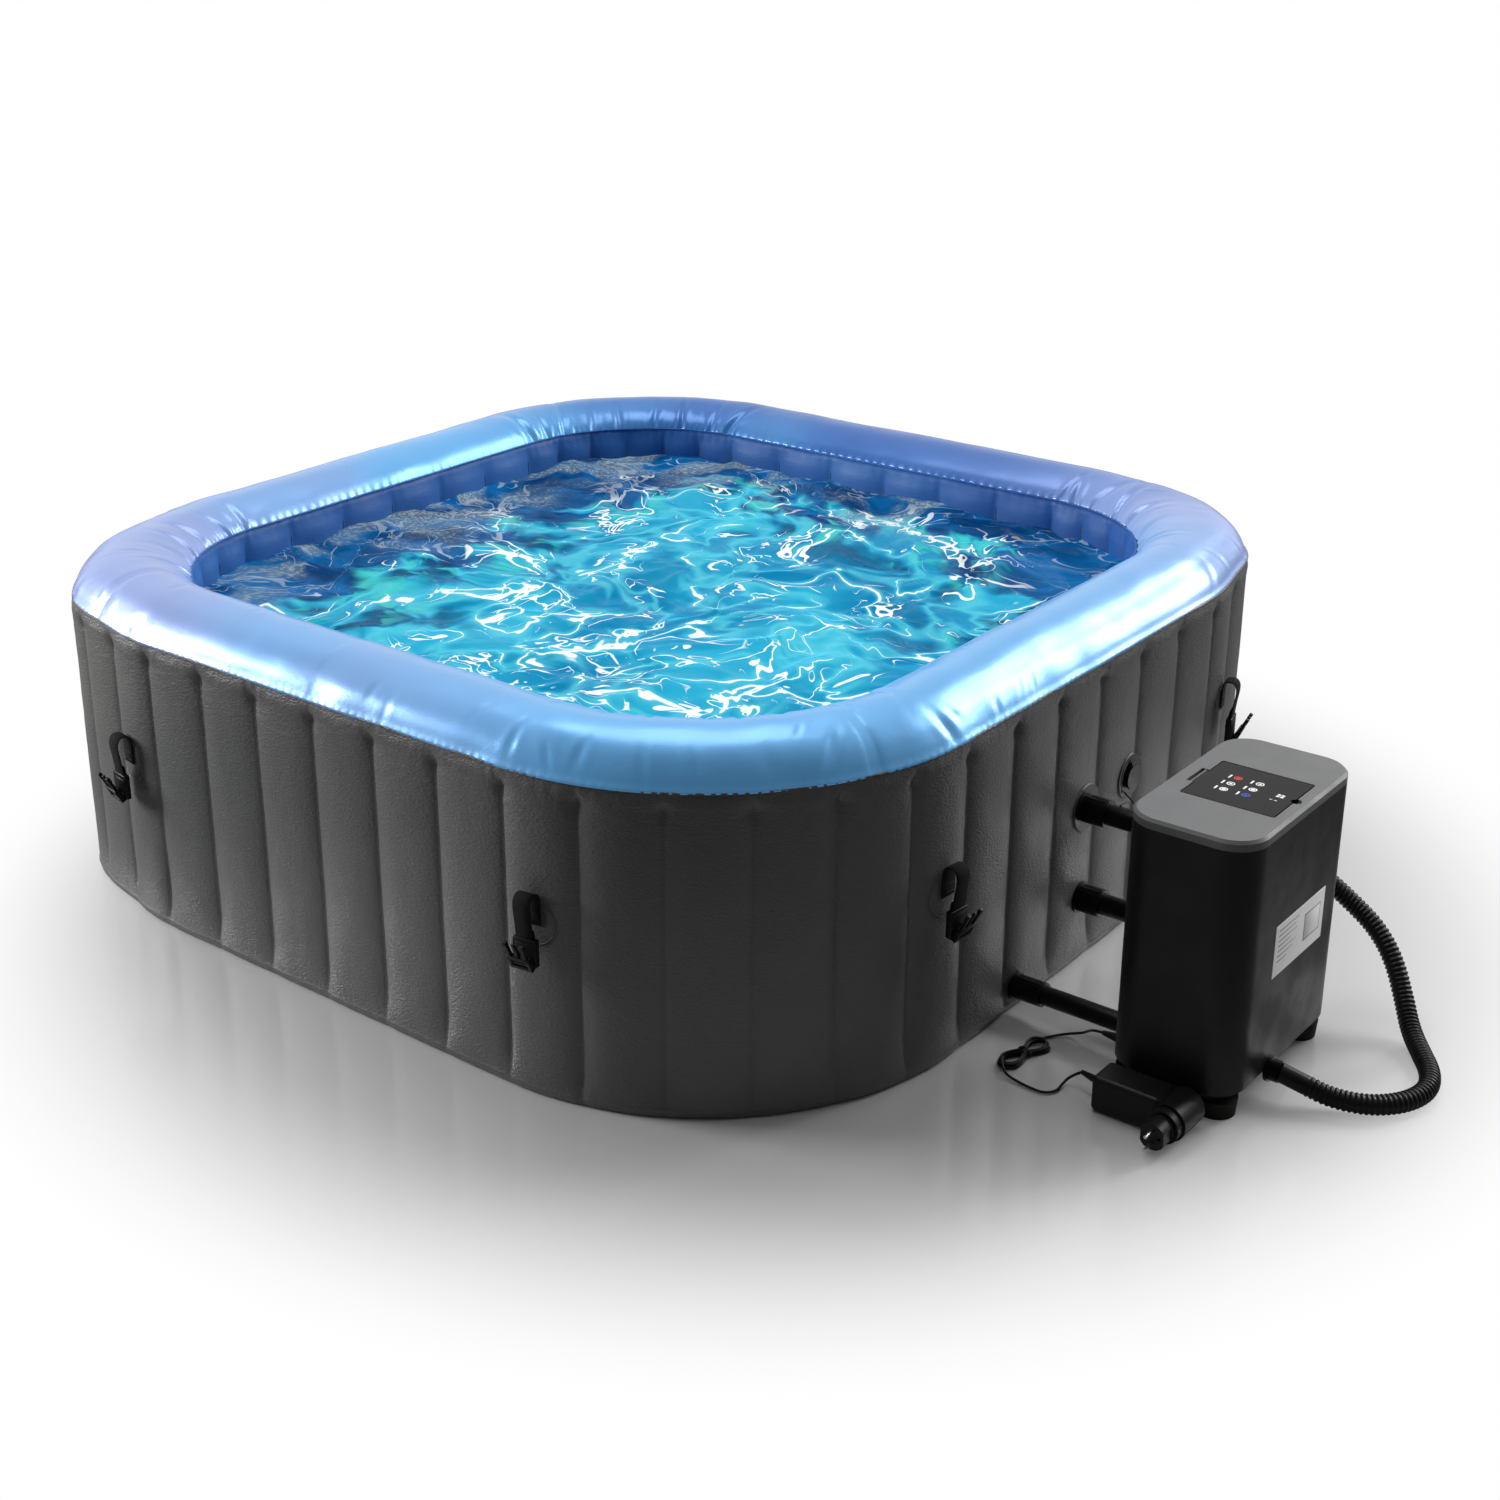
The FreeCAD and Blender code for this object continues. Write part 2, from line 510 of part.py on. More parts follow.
def control_parts():
    """Panel, six keys and the hinged cover over them."""
    floor = PZ1 - REC_DEEP
    panel = rounded_plate(REC_MID_X, PY, REC_X - 0.6, REC_Y - 0.6, 3.7, floor, floor + PANEL)
    for index, name in enumerate(KEY_NAMES):
        column = index // 3 - 0.5
        row = index % 3 - 1
        x = REC_MID_X + row * KEY_ROW + KEY_SHIFT
        y = PY + column * KEY_COLUMN
        stem_low = floor + KEY_TRAVEL + 0.15
        key_low = floor + PANEL + KEY_TRAVEL + 0.1
        key = rod(V(x, y, key_low), V(x, y, key_low + KEY_CAP), KEY_R)
        key = key.fuse(rod(V(x, y, stem_low), V(x, y, key_low), STEM_R))
        save("key_" + name, key)
        panel = panel.cut(rod(V(x, y, floor - 1), V(x, y, floor + PANEL + 1), STEM_R + 0.4))
    save("control_panel", panel)
    low = PZ1 - COVER - 0.2
    cover = rounded_plate(REC_MID_X, PY, COVER_X, COVER_Y, 2, low, low + COVER)
    left = REC_MID_X - COVER_X / 2
    tab = box(BARREL_X, left + 2, PY - BARREL_LONG / 2, PY + BARREL_LONG / 2, low, low + 1.8)
    dish = rod(V(REC_MID_X + REC_X / 2, PY, low - 1), V(REC_MID_X + REC_X / 2, PY, PZ1 + 1), NOTCH_R)
    pin_from = V(BARREL_X, PY - BARREL_LONG / 2, BARREL_Z)
    pin_to = V(BARREL_X, PY + BARREL_LONG / 2, BARREL_Z)
    cover = cover.fuse(tab).fuse(rod(pin_from, pin_to, BARREL_R)).cut(dish)
    cover = cover.cut(rod(pin_from - V(0, 1, 0), pin_to + V(0, 1, 0), PIN_R + 0.25))
    save("panel_cover", cover)
    board = box(PX - 55, PX + 55, PY - 60, PY + 60, BOARD_Z, BOARD_Z + 1.6)
    for dx, dy, wide, deep, high in BOARD_PARTS:
        x0 = PX + dx - wide / 2
        y0 = PY + dy - deep / 2
        board = board.fuse(box(x0, x0 + wide, y0, y0 + deep, BOARD_Z - high, BOARD_Z))
    save("control_board", board)


def rotor(x, y, z, disc_r, hub_r, hub_high, blades, blade_from, blade_high):
    """Disc with a hub and upright blades."""
    wheel = Part.makeCylinder(disc_r, ROTOR_DISC, V(x, y, z))
    wheel = wheel.fuse(Part.makeCylinder(hub_r, hub_high, V(x, y, z)))
    for k in range(blades):
        blade = box(blade_from, disc_r - 2, -1.2, 1.2, z + ROTOR_DISC, z + blade_high)
        blade.rotate(V(0, 0, 0), UP, 360 * k / blades)
        blade.translate(V(x, y, 0))
        wheel = wheel.fuse(blade)
    return wheel


def machinery_parts():
    """Water pump and impeller, heater, air blower and its fan."""
    x, y, z = PX, PUMP_Y, PUMP_Z
    volute = Part.makeCylinder(VOLUTE_R, VOLUTE_HIGH, V(x, y, z))
    volute = volute.cut(Part.makeCylinder(VOLUTE_R - 4, VOLUTE_HIGH - 6, V(x, y, z + 3)))
    volute = volute.cut(Part.makeCylinder(SHAFT_R + 2, 10, V(x, y, z + VOLUTE_HIGH - 6)))
    spout_z = z + VOLUTE_HIGH / 2
    volute = volute.fuse(tube(V(x - 48, y + 20, spout_z), V(x - 80, y + 20, spout_z), 14, 11))
    motor = Part.makeCylinder(MOTOR_R, MOTOR_HIGH, V(x, y, z + VOLUTE_HIGH + 4))
    motor = motor.cut(Part.makeCylinder(SHAFT_R + 3, MOTOR_HIGH - 10, V(x, y, z + VOLUTE_HIGH + 3)))
    save("water_pump", Part.makeCompound([volute, motor]))
    save("impeller", rotor(x, y, z + 8, VOLUTE_R - 12, SHAFT_R, 120, 6, 6, 22))
    can = Part.makeCylinder(HEATER_R, HEATER_HIGH, V(PX, HEATER_Y, 66))
    can = can.cut(Part.makeCylinder(HEATER_R - 3, HEATER_HIGH - 6, V(PX, HEATER_Y, 69)))
    element = Part.makeCylinder(6, HEATER_HIGH - 40, V(PX, HEATER_Y, 80))
    save("heater", Part.makeCompound([can, element]))
    drum = Part.makeCylinder(DRUM_R, DRUM_HIGH, V(PX, BLOWER_Y, BLOWER_Z))
    drum = drum.cut(Part.makeCylinder(DRUM_R - 4, DRUM_HIGH - 6, V(PX, BLOWER_Y, BLOWER_Z + 3)))
    save("air_blower", drum)
    save("blower_fan", rotor(PX, BLOWER_Y, BLOWER_Z + 10, DRUM_R - 12, SHAFT_R + 2, 44, 8, 12, 40))


# ---- hose, lead, adapter ------------------------------------------------------------------
def route_tube(name, route, diameter):
    """Round tube along straight runs joined by tangent arcs."""
    points = [V(*p) for p in route]
    edges = []
    radii = []
    here = points[0]
    for before, corner, after in zip(points, points[1:], points[2:]):
        run_in = corner - before
        run_out = after - corner
        half_turn = run_in.getAngle(run_out) / 2
        cut = 0.45 * min(run_in.Length, run_out.Length)
        radii.append(cut / math.tan(half_turn))
        direction_in = V(run_in).normalize()
        direction_out = V(run_out).normalize()
        arc_from = corner - direction_in * cut
        arc_to = corner + direction_out * cut
        towards = (direction_out - direction_in).normalize()
        middle = corner + towards * (radii[-1] / math.cos(half_turn) - radii[-1])
        edges.append(Part.LineSegment(here, arc_from).toShape())
        edges.append(Part.Arc(arc_from, middle, arc_to).toShape())
        here = arc_to
    edges.append(Part.LineSegment(here, points[-1]).toShape())
    path = Part.Wire(edges)
    start_dir = (points[1] - points[0]).normalize()
    circle = Part.Wire(Part.Circle(points[0], start_dir, diameter / 2).toShape())
    solid = path.makePipeShell([circle], True, True)
    ideal = path.Length * math.pi * diameter ** 2 / 4
    print("%s: length %.0f mm, volume ratio %.4f, radii %s" % (
        name, path.Length, solid.Volume / ideal, " ".join("%.0f" % r for r in radii)))
    return solid


def hank_shape():
    """Closed outer shape of the tied bundle: two lobes and a waist."""
    low = 0.3
    shoulder_x = math.sqrt(HANK_LOBE ** 2 - HANK_SHOULDER ** 2)
    lobes = []
    for sign in (-1, 1):
        mid = HANK_MID + V(0, sign * (HANK_HALF - HANK_LOBE), low)
        lobe = Part.makeCylinder(HANK_LOBE, HANK_HIGH, mid, UP)
        lobes.append(lobe)
        wedge = [
            HANK_MID + V(-HANK_WAIST, 0, low), HANK_MID + V(HANK_WAIST, 0, low),
            mid + V(shoulder_x, -sign * HANK_SHOULDER, 0), mid + V(-shoulder_x, -sign * HANK_SHOULDER, 0),
            HANK_MID + V(-HANK_WAIST, 0, low),
        ]
        lobes.append(Part.Face(Part.makePolygon(wedge)).extrude(V(0, 0, HANK_HIGH)))
    whole = lobes[0].multiFuse(lobes[1:]).removeSplitter()
    whole.rotate(HANK_MID, UP, HANK_TURN)
    return whole


def lead_parts():
    """Air hose with two fittings, mains lead with its hank, gland, strain relief, adapter, plug."""
    save("air_hose", route_tube("air_hose", HOSE_ROUTE, HOSE_D))
    fittings = []
    for route, towards, reach in ((HOSE_ROUTE[0], V(0, 1, 0), 22.0), (HOSE_ROUTE[-1], V(1, 0, 0), 18.0)):
        start = V(*route) - towards * reach
        flange = rod(start, start + towards * 5, HOSE_D / 2 + 3.5)
        fittings.append(flange.fuse(rod(start, start + towards * reach, HOSE_D / 2 + 1)))
    save("hose_fittings", Part.makeCompound(fittings))
    save("power_cable", route_tube("power_cable", CABLE_ROUTE, CABLE_D))
    save("lead_to_adapter", route_tube("lead_to_adapter", LEAD_ROUTE, CABLE_D))
    save("valve_tether", route_tube("valve_tether", TETHER_ROUTE, TETHER_D))
    save("cable_hank", hank_shape())
    cable_start = V(*CABLE_ROUTE[0])
    gland_from = V(PX - PD / 2, cable_start.y, cable_start.z)
    gland = Part.makeCone(7, 3.2, gland_from.x - cable_start.x - 4, gland_from - V(4, 0, 0), V(-1, 0, 0))
    gland = gland.fuse(rod(gland_from, gland_from - V(4, 0, 0), 9))
    save("cable_gland", gland)
    x0, x1, y0, y1, z0, z1 = ADAPTER
    relief_end = V(*LEAD_ROUTE[-1])
    relief_start = V(x0, RELIEF_Y, RELIEF_Z)
    axis = relief_end - relief_start
    save("strain_relief", Part.makeCone(6.5, 3.2, axis.Length, relief_start, axis))
    body = box(x0, x1, y0, y1, z0, z1)
    body = body.makeFillet(7, body.Edges)
    rim_y = y0 - 3
    body = body.fuse(rod(V(PLUG_X, rim_y, PLUG_Z), V(PLUG_X, y1, PLUG_Z), PLUG_RIM))
    save("adapter_body", body)
    step_y = rim_y - 14
    end_y = step_y - 27
    head = rod(V(PLUG_X, rim_y, PLUG_Z), V(PLUG_X, step_y, PLUG_Z), PLUG_STEP)
    head = head.fuse(rod(V(PLUG_X, step_y, PLUG_Z), V(PLUG_X, end_y, PLUG_Z), PLUG_NOSE))
    for side in (-1, 1):
        middle = PLUG_X + side * (PLUG_NOSE + 1.5)
        flat = box(middle - 4, middle + 4, end_y - 1, end_y + 20, PLUG_Z - 9, PLUG_Z + 9)
        head = head.cut(flat)
    earth = V(PLUG_X + 10, end_y - 1, PLUG_Z)
    head = head.cut(rod(earth, earth + V(0, 15, 0), EARTH_R))
    pins = []
    for side in (-1, 1):
        root = V(PLUG_X, end_y + 8, PLUG_Z + side * PIN_GAP / 2)
        pin = rod(root, root - V(0, PIN_LONG + 8, 0), PIN_DIA / 2)
        pins.append(pin)
        head = head.cut(pin)
    save("plug_head", head)
    save("plug_pins", Part.makeCompound(pins))


os.makedirs("parts", exist_ok=True)
tub_parts()
port_parts()
basin_parts()
valve_parts()
strap_parts()
pump_shell_parts()
control_parts()
machinery_parts()
lead_parts()
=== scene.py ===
"""Looks for the inflatable square hot tub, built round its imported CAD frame.  Metres, +Z up."""
import math
import random
from functools import partial

import bmesh
import bpy
from mathutils import Matrix, Vector, noise


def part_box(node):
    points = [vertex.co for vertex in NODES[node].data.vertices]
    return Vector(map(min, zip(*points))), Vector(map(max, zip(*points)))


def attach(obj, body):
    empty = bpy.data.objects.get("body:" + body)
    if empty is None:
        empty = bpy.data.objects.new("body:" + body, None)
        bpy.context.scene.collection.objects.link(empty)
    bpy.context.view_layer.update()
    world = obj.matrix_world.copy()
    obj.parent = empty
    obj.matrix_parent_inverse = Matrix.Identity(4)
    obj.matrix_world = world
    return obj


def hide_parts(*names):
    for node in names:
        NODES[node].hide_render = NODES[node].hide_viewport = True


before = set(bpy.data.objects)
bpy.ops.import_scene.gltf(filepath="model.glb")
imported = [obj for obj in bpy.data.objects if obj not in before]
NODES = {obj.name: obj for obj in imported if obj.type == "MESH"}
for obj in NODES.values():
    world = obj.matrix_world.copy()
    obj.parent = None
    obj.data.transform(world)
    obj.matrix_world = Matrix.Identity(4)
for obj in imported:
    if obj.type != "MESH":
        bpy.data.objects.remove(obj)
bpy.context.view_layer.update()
UP = Vector((0, 0, 1))

# ---- the tub's plan, as in the frame -------------------------------------------------------
HALF, CORNER = 0.785, 0.440
STRAIGHT = HALF - CORNER
QUARTER = 2 * STRAIGHT + CORNER * math.pi / 2
ROUND = 4 * QUARTER
SIDE_SHIFT = (0.0, 0.025, 0.0, 0.025)
PITCH, CORNER_CHANNELS = 0.120, 6
SIDES = ("front", "right", "back", "left")
STRAP_OFFSETS = ((-0.425, 0.410), (-0.385, 0.445), (-0.425, 0.410), (-0.385, 0.445))
SEAM_OUT, SEAM_IN = 0.469, 0.487
RIM_MID, RIM_RISE, RIM_REACH = 0.454, 0.076, 0.083
WATER = 0.424              # mean height of the water
SKIN = 0.0015              # sheet thickness
FOLD_Z, PATCH_Z, PATCH_R = 0.300, 0.262, 0.033      # straps: fold, middle of the patch


# ---- camera --------------------------------------------------------------------------------
def make_camera():
    """The viewpoint: from the pump unit's front corner, a little above."""
    azimuth, elevation, roll = (math.radians(angle) for angle in (39.4265, 20.8358, -0.4889))
    target, away = Vector((0, 0, 0.3)), 3.5670
    flat = math.cos(elevation)
    back = Vector((math.sin(azimuth) * flat, -math.cos(azimuth) * flat, math.sin(elevation)))
    right = (-back).cross(UP).normalized()
    up = right.cross(-back)
    turned_right = right * math.cos(roll) + up * math.sin(roll)
    turned_up = up * math.cos(roll) - right * math.sin(roll)
    data = bpy.data.cameras.new("camera")
    data.sensor_width = 36.0
    data.lens = 51.426
    data.shift_x = 0.0530
    data.shift_y = -0.0635
    data.clip_end = 60
    camera = bpy.data.objects.new("camera", data)
    axes = Matrix((turned_right, turned_up, back)).transposed()
    camera.matrix_world = Matrix.Translation(target + back * away) @ axes.to_4x4()
    bpy.context.scene.collection.objects.link(camera)
    bpy.context.scene.camera = camera


make_camera()


# ---- materials -----------------------------------------------------------------------------
class Nodes:
    """A node tree under construction; place is the coordinate used where no source is given."""

    def __init__(self, tree, coordinate):
        self.tree = tree
        self.place = self.node("ShaderNodeTexCoord").outputs[coordinate]
        # short names for sums on sockets: take(a, b) is a - b, size(a) is a without its sign
        self.add, self.take, self.times, self.least, self.most, self.size = (
            partial(self.math, kind)
            for kind in ("ADD", "SUBTRACT", "MULTIPLY", "MINIMUM", "MAXIMUM", "ABSOLUTE"))

    def node(self, kind, **settings):
        made = self.tree.nodes.new(kind)
        for key, value in settings.items():
            setattr(made, key, value)
        return made

    def link(self, source, target):
        self.tree.links.new(source, target)

    def feed(self, made, *values):
        """Fills a node's inputs in order, from numbers, tuples or sockets; None leaves one as it is."""
        for socket, value in zip(made.inputs, values):
            if isinstance(value, (int, float, tuple)):
                socket.default_value = value
            elif value is not None:
                self.link(value, socket)
        return made

    def mapped(self, scale, source=None):
        """Coordinates scaled per axis."""
        mapping = self.node("ShaderNodeMapping")
        mapping.inputs["Scale"].default_value = scale
        self.link(source or self.place, mapping.inputs["Vector"])
        return mapping.outputs["Vector"]

    def noise(self, scale, detail=3.0, source=None, distortion=0.0, output="Fac"):
        made = self.node("ShaderNodeTexNoise")
        made.inputs["Scale"].default_value = scale
        made.inputs["Detail"].default_value = detail
        made.inputs["Distortion"].default_value = distortion
        self.link(source or self.place, made.inputs["Vector"])
        return made.outputs[output]

    def voronoi(self, scale, source=None):
        made = self.node("ShaderNodeTexVoronoi")
        made.inputs["Scale"].default_value = scale
        self.link(source or self.place, made.inputs["Vector"])
        return made.outputs["Distance"]

    def ramp(self, source, low, high, start=0.0, end=1.0):
        """Smooth change from start to end as source goes from low to high."""
        made = self.node("ShaderNodeMapRange", interpolation_type="SMOOTHSTEP")
        for key, value in (("From Min", low), ("From Max", high), ("To Min", start), ("To Max", end)):
            made.inputs[key].default_value = value
        self.link(source, made.inputs["Value"])
        return made.outputs["Result"]

    def math(self, operation, a, b=None):
        return self.feed(self.node("ShaderNodeMath", operation=operation), a, b).outputs["Value"]

    def vector(self, operation, *values, output="Vector"):
        return self.feed(self.node("ShaderNodeVectorMath", operation=operation), *values).outputs[output]

    def split(self, vector):
        """X, Y and Z of a vector socket."""
        made = self.node("ShaderNodeSeparateXYZ")
        self.link(vector, made.inputs["Vector"])
        return made.outputs

    def mix(self, factor, a, b):
        """Colour mix; factor is a number or a socket, a and b are colours or sockets."""
        made = self.node("ShaderNodeMix", data_type="RGBA")
        if isinstance(factor, float):
            made.inputs["Factor"].default_value = factor
        else:
            self.link(factor, made.inputs["Factor"])
        for key, value in ((6, a), (7, b)):
            if isinstance(value, tuple):
                made.inputs[key].default_value = (*value, 1)
            else:
                self.link(value, made.inputs[key])
        return made.outputs[2]

    def blend(self, factor, a, b, surface):
        """Mix of two shader nodes, sent to the surface."""
        mixed = self.feed(self.node("ShaderNodeMixShader"), factor, a.outputs[0], b.outputs[0])
        self.link(mixed.outputs["Shader"], surface.inputs["Surface"])


class Finish(Nodes):
    """A material in object coordinates (metres)."""

    def __init__(self, name, rough=0.5, **sockets):
        self.material = bpy.data.materials.new(name)
        self.material.use_nodes = True
        super().__init__(self.material.node_tree, "Object")
        self.shader = self.tree.nodes["Principled BSDF"]
        self.shader.inputs["Roughness"].default_value = rough
        for key, value in sockets.items():
            self.shader.inputs[key.replace("_", " ")].default_value = value
        self.height = None

    def give(self, key, source):
        """Sets or links one of the shader's sockets."""
        if isinstance(source, tuple):
            self.shader.inputs[key].default_value = (*source, 1)
        else:
            self.link(source, self.shader.inputs[key])
        return self

    def color(self, source):
        return self.give("Base Color", source)

    def rough(self, source):
        return self.give("Roughness", source)

    def glow(self, color, strength):
        """Light of its own, in a colour or from a socket."""
        self.shader.inputs["Emission Strength"].default_value = strength
        return self.give("Emission Color", color)

    def bump(self, height, distance, strength=1.0):
        """Adds one layer of relief, distance in metres."""
        made = self.node("ShaderNodeBump")
        made.inputs["Strength"].default_value = strength
        made.inputs["Distance"].default_value = distance
        self.link(height, made.inputs["Height"])
        if self.height is not None:
            self.link(self.height, made.inputs["Normal"])
        self.height = made.outputs["Normal"]
        self.link(self.height, self.shader.inputs["Normal"])
        return self


def moulded(name, dark, light, rough, grain=900.0, relief=0.00012, **sockets):
    """Moulded plastic: fine spark-eroded grain, faint tone and gloss changes."""
    made = Finish(name, rough, **sockets)
    made.color(made.mix(made.noise(9.0, 4.0), dark, light))
    made.rough(made.ramp(made.noise(23.0, 5.0), 0.3, 0.7, rough * 0.88, min(1.0, rough * 1.14)))
    return made.bump(made.noise(grain, 2.0), relief, 0.5)


def vinyl(name, dark, light, rough, relief, patches=2.2, grain=420.0, strength=0.6, **sockets):
    """Laminated sheet: leather grain, small stretch creases and soft tone changes."""
    made = Finish(name, rough, **sockets)
    tone = made.ramp(made.noise(patches, 3.0), 0.3, 0.7)
    made.color(made.mix(tone, dark, light))
    made.rough(made.ramp(made.noise(14.0, 4.0), 0.3, 0.7, rough * 0.9, rough * 1.12))
    creases = made.noise(60.0, 3.0, made.mapped((1.0, 1.0, 3.2)), 0.6)
    made.bump(creases, 0.0010, 0.35)
    return made.bump(made.voronoi(grain, made.mapped((1.0, 1.0, 1.9))), relief, strength)


def rim_finish():
    """Pearly blue sheet, sky blue, with painted light: a painted lavender sheen towards two corners, painted
    shade in deep blue on the far side, and a faint glow.
    """
    made = Finish("rim_vinyl", 0.30, Metallic=0.35, Coat_Weight=0.45, Coat_Roughness=0.20)
    spot = made.split(made.place)
    cloud = made.ramp(made.noise(1.7, 2.0), 0.3, 0.7, -0.22, 0.22)
    lean = made.take(spot["Y"], made.times(spot["X"], 0.4))
    # painted shade: deep blue on the far side, in place of the sheet's dark reflections
    painted_shade = made.ramp(made.add(lean, cloud), 0.30, 0.92)
    across = made.size(made.add(spot["X"], spot["Y"]))
    # painted sheen: lavender towards two corners, in place of the sheet's pearly reflections
    painted_sheen = made.ramp(made.add(across, cloud), 0.45, 1.25)
    color = made.mix(painted_sheen, (0.125, 0.40, 0.76), (0.25, 0.34, 0.64))
    color = made.mix(painted_shade, color, (0.028, 0.12, 0.40))
    # the rim glows faintly in its own colour: painted light
    made.color(color).glow(color, 0.22)
    made.rough(made.ramp(made.noise(11.0, 4.0), 0.3, 0.7, 0.27, 0.38))
    made.bump(made.noise(38.0, 4.0, None, 0.8), 0.0011, 0.30)
    return made.bump(made.voronoi(600.0), 0.00018, 0.35)


WALL = vinyl("wall_vinyl", (0.102, 0.104, 0.105), (0.124, 0.124, 0.121), 0.42, 0.0006, grain=190.0,
             strength=0.9)
RIM = rim_finish()
BASIN = vinyl("basin_vinyl", (0.008, 0.10, 0.38), (0.030, 0.17, 0.50), 0.55, 0.00020, patches=3.0)
GROUND = vinyl("base_vinyl", (0.05, 0.052, 0.056), (0.07, 0.07, 0.075), 0.6, 0.0004)
DULL = {"Specular_IOR_Level": 0.24}
BLACK = moulded("fitting_black", (0.004, 0.004, 0.0045), (0.008, 0.008, 0.0085), 0.32, **DULL)
GREY = moulded("fitting_grey", (0.18, 0.20, 0.22), (0.24, 0.26, 0.28), 0.45)
RUBBER = moulded("seal_rubber", (0.010, 0.010, 0.009), (0.022, 0.021, 0.018), 0.72, 500.0, 0.0003, **DULL)
CASE = moulded("case_black", (0.0065, 0.0065, 0.007), (0.0095, 0.0095, 0.010), 0.44, 1100.0, 0.00010,
               Specular_IOR_Level=0.35)
LID = moulded("lid_grey", (0.150, 0.152, 0.154), (0.172, 0.174, 0.176), 0.50, 1100.0, 0.00010)
GLOSS = moulded("cover_gloss", (0.006, 0.006, 0.0055), (0.011, 0.010, 0.009), 0.12, 40.0, 0.00003,
                Specular_IOR_Level=0.12)
KEY = moulded("key_plastic", (0.03, 0.03, 0.035), (0.05, 0.05, 0.055), 0.25)
STEEL = Finish("pin_steel", 0.28, Metallic=1.0)
STEEL.color(STEEL.mix(STEEL.noise(120.0, 3.0), (0.50, 0.50, 0.51), (0.72, 0.72, 0.73)))
STEEL.bump(STEEL.noise(700.0, 2.0, STEEL.mapped((1.0, 0.08, 1.0))), 0.00006, 0.5)
ROTOR = moulded("rotor_plastic", (0.60, 0.60, 0.57), (0.70, 0.70, 0.66), 0.5)
BOARD = moulded("board_green", (0.01, 0.12, 0.04), (0.02, 0.18, 0.06), 0.3, 250.0, 0.0003)
HOSE = moulded("hose_vinyl", (0.010, 0.010, 0.011), (0.020, 0.020, 0.021), 0.36, 600.0, 0.00015, **DULL)
CABLE = moulded("cable_rubber", (0.008, 0.008, 0.008), (0.016, 0.016, 0.015), 0.42, 1200.0, 0.00008, **DULL)
PLUG = moulded("plug_plastic", (0.006, 0.006, 0.006), (0.011, 0.011, 0.011), 0.42, 900.0, 0.00012, **DULL)
PAPER = Finish("filter_paper", 0.9)
PAPER.color(PAPER.mix(PAPER.noise(60.0), (0.70, 0.72, 0.70), (0.82, 0.83, 0.80)))
PAPER.bump(PAPER.noise(400.0), 0.0004)
LABEL = Finish("label_pale", 0.38)
LABEL.color(LABEL.mix(LABEL.noise(30.0, 4.0), (0.78, 0.77, 0.77), (0.84, 0.83, 0.83)))
# the plate glows faintly: painted light
LABEL.glow((0.8, 0.79, 0.79), 0.14).bump(LABEL.noise(300.0), 0.00005, 0.4)
INK = moulded("label_ink", (0.34, 0.34, 0.35), (0.42, 0.42, 0.43), 0.5)
# the white marks glow: painted light
WHITE = moulded("symbol_white", (0.80, 0.80, 0.80), (0.90, 0.90, 0.90), 0.35).glow((1, 1, 1), 0.25)
RED = moulded("symbol_red", (0.75, 0.02, 0.02), (0.85, 0.04, 0.03), 0.35)
BLUE = moulded("symbol_blue", (0.03, 0.06, 0.65), (0.05, 0.10, 0.80), 0.35)


def webbing_finish():
    """Flat woven tape: over-and-under ribs across, a fine cross thread, from the strip's own UV."""
    rib, thread = 0.0016, 0.0021
    made = Finish("webbing", 0.85, Specular_IOR_Level=0.25)
    tape = made.split(made.node("ShaderNodeTexCoord").outputs["UV"])
    across = made.math("SINE", made.times(tape["X"], 2 * math.pi / rib))
    along = made.math("SINE", made.times(tape["Y"], 2 * math.pi / thread))
    weave = made.times(across, along)
    # darker where the weave sinks: painted shade in the weave's hollows
    made.color(made.mix(made.ramp(weave, -0.8, 0.8), (0.003, 0.003, 0.0035), (0.009, 0.009, 0.0095)))
    return made.bump(weave, 0.0004, 0.8)


WEBBING = webbing_finish()


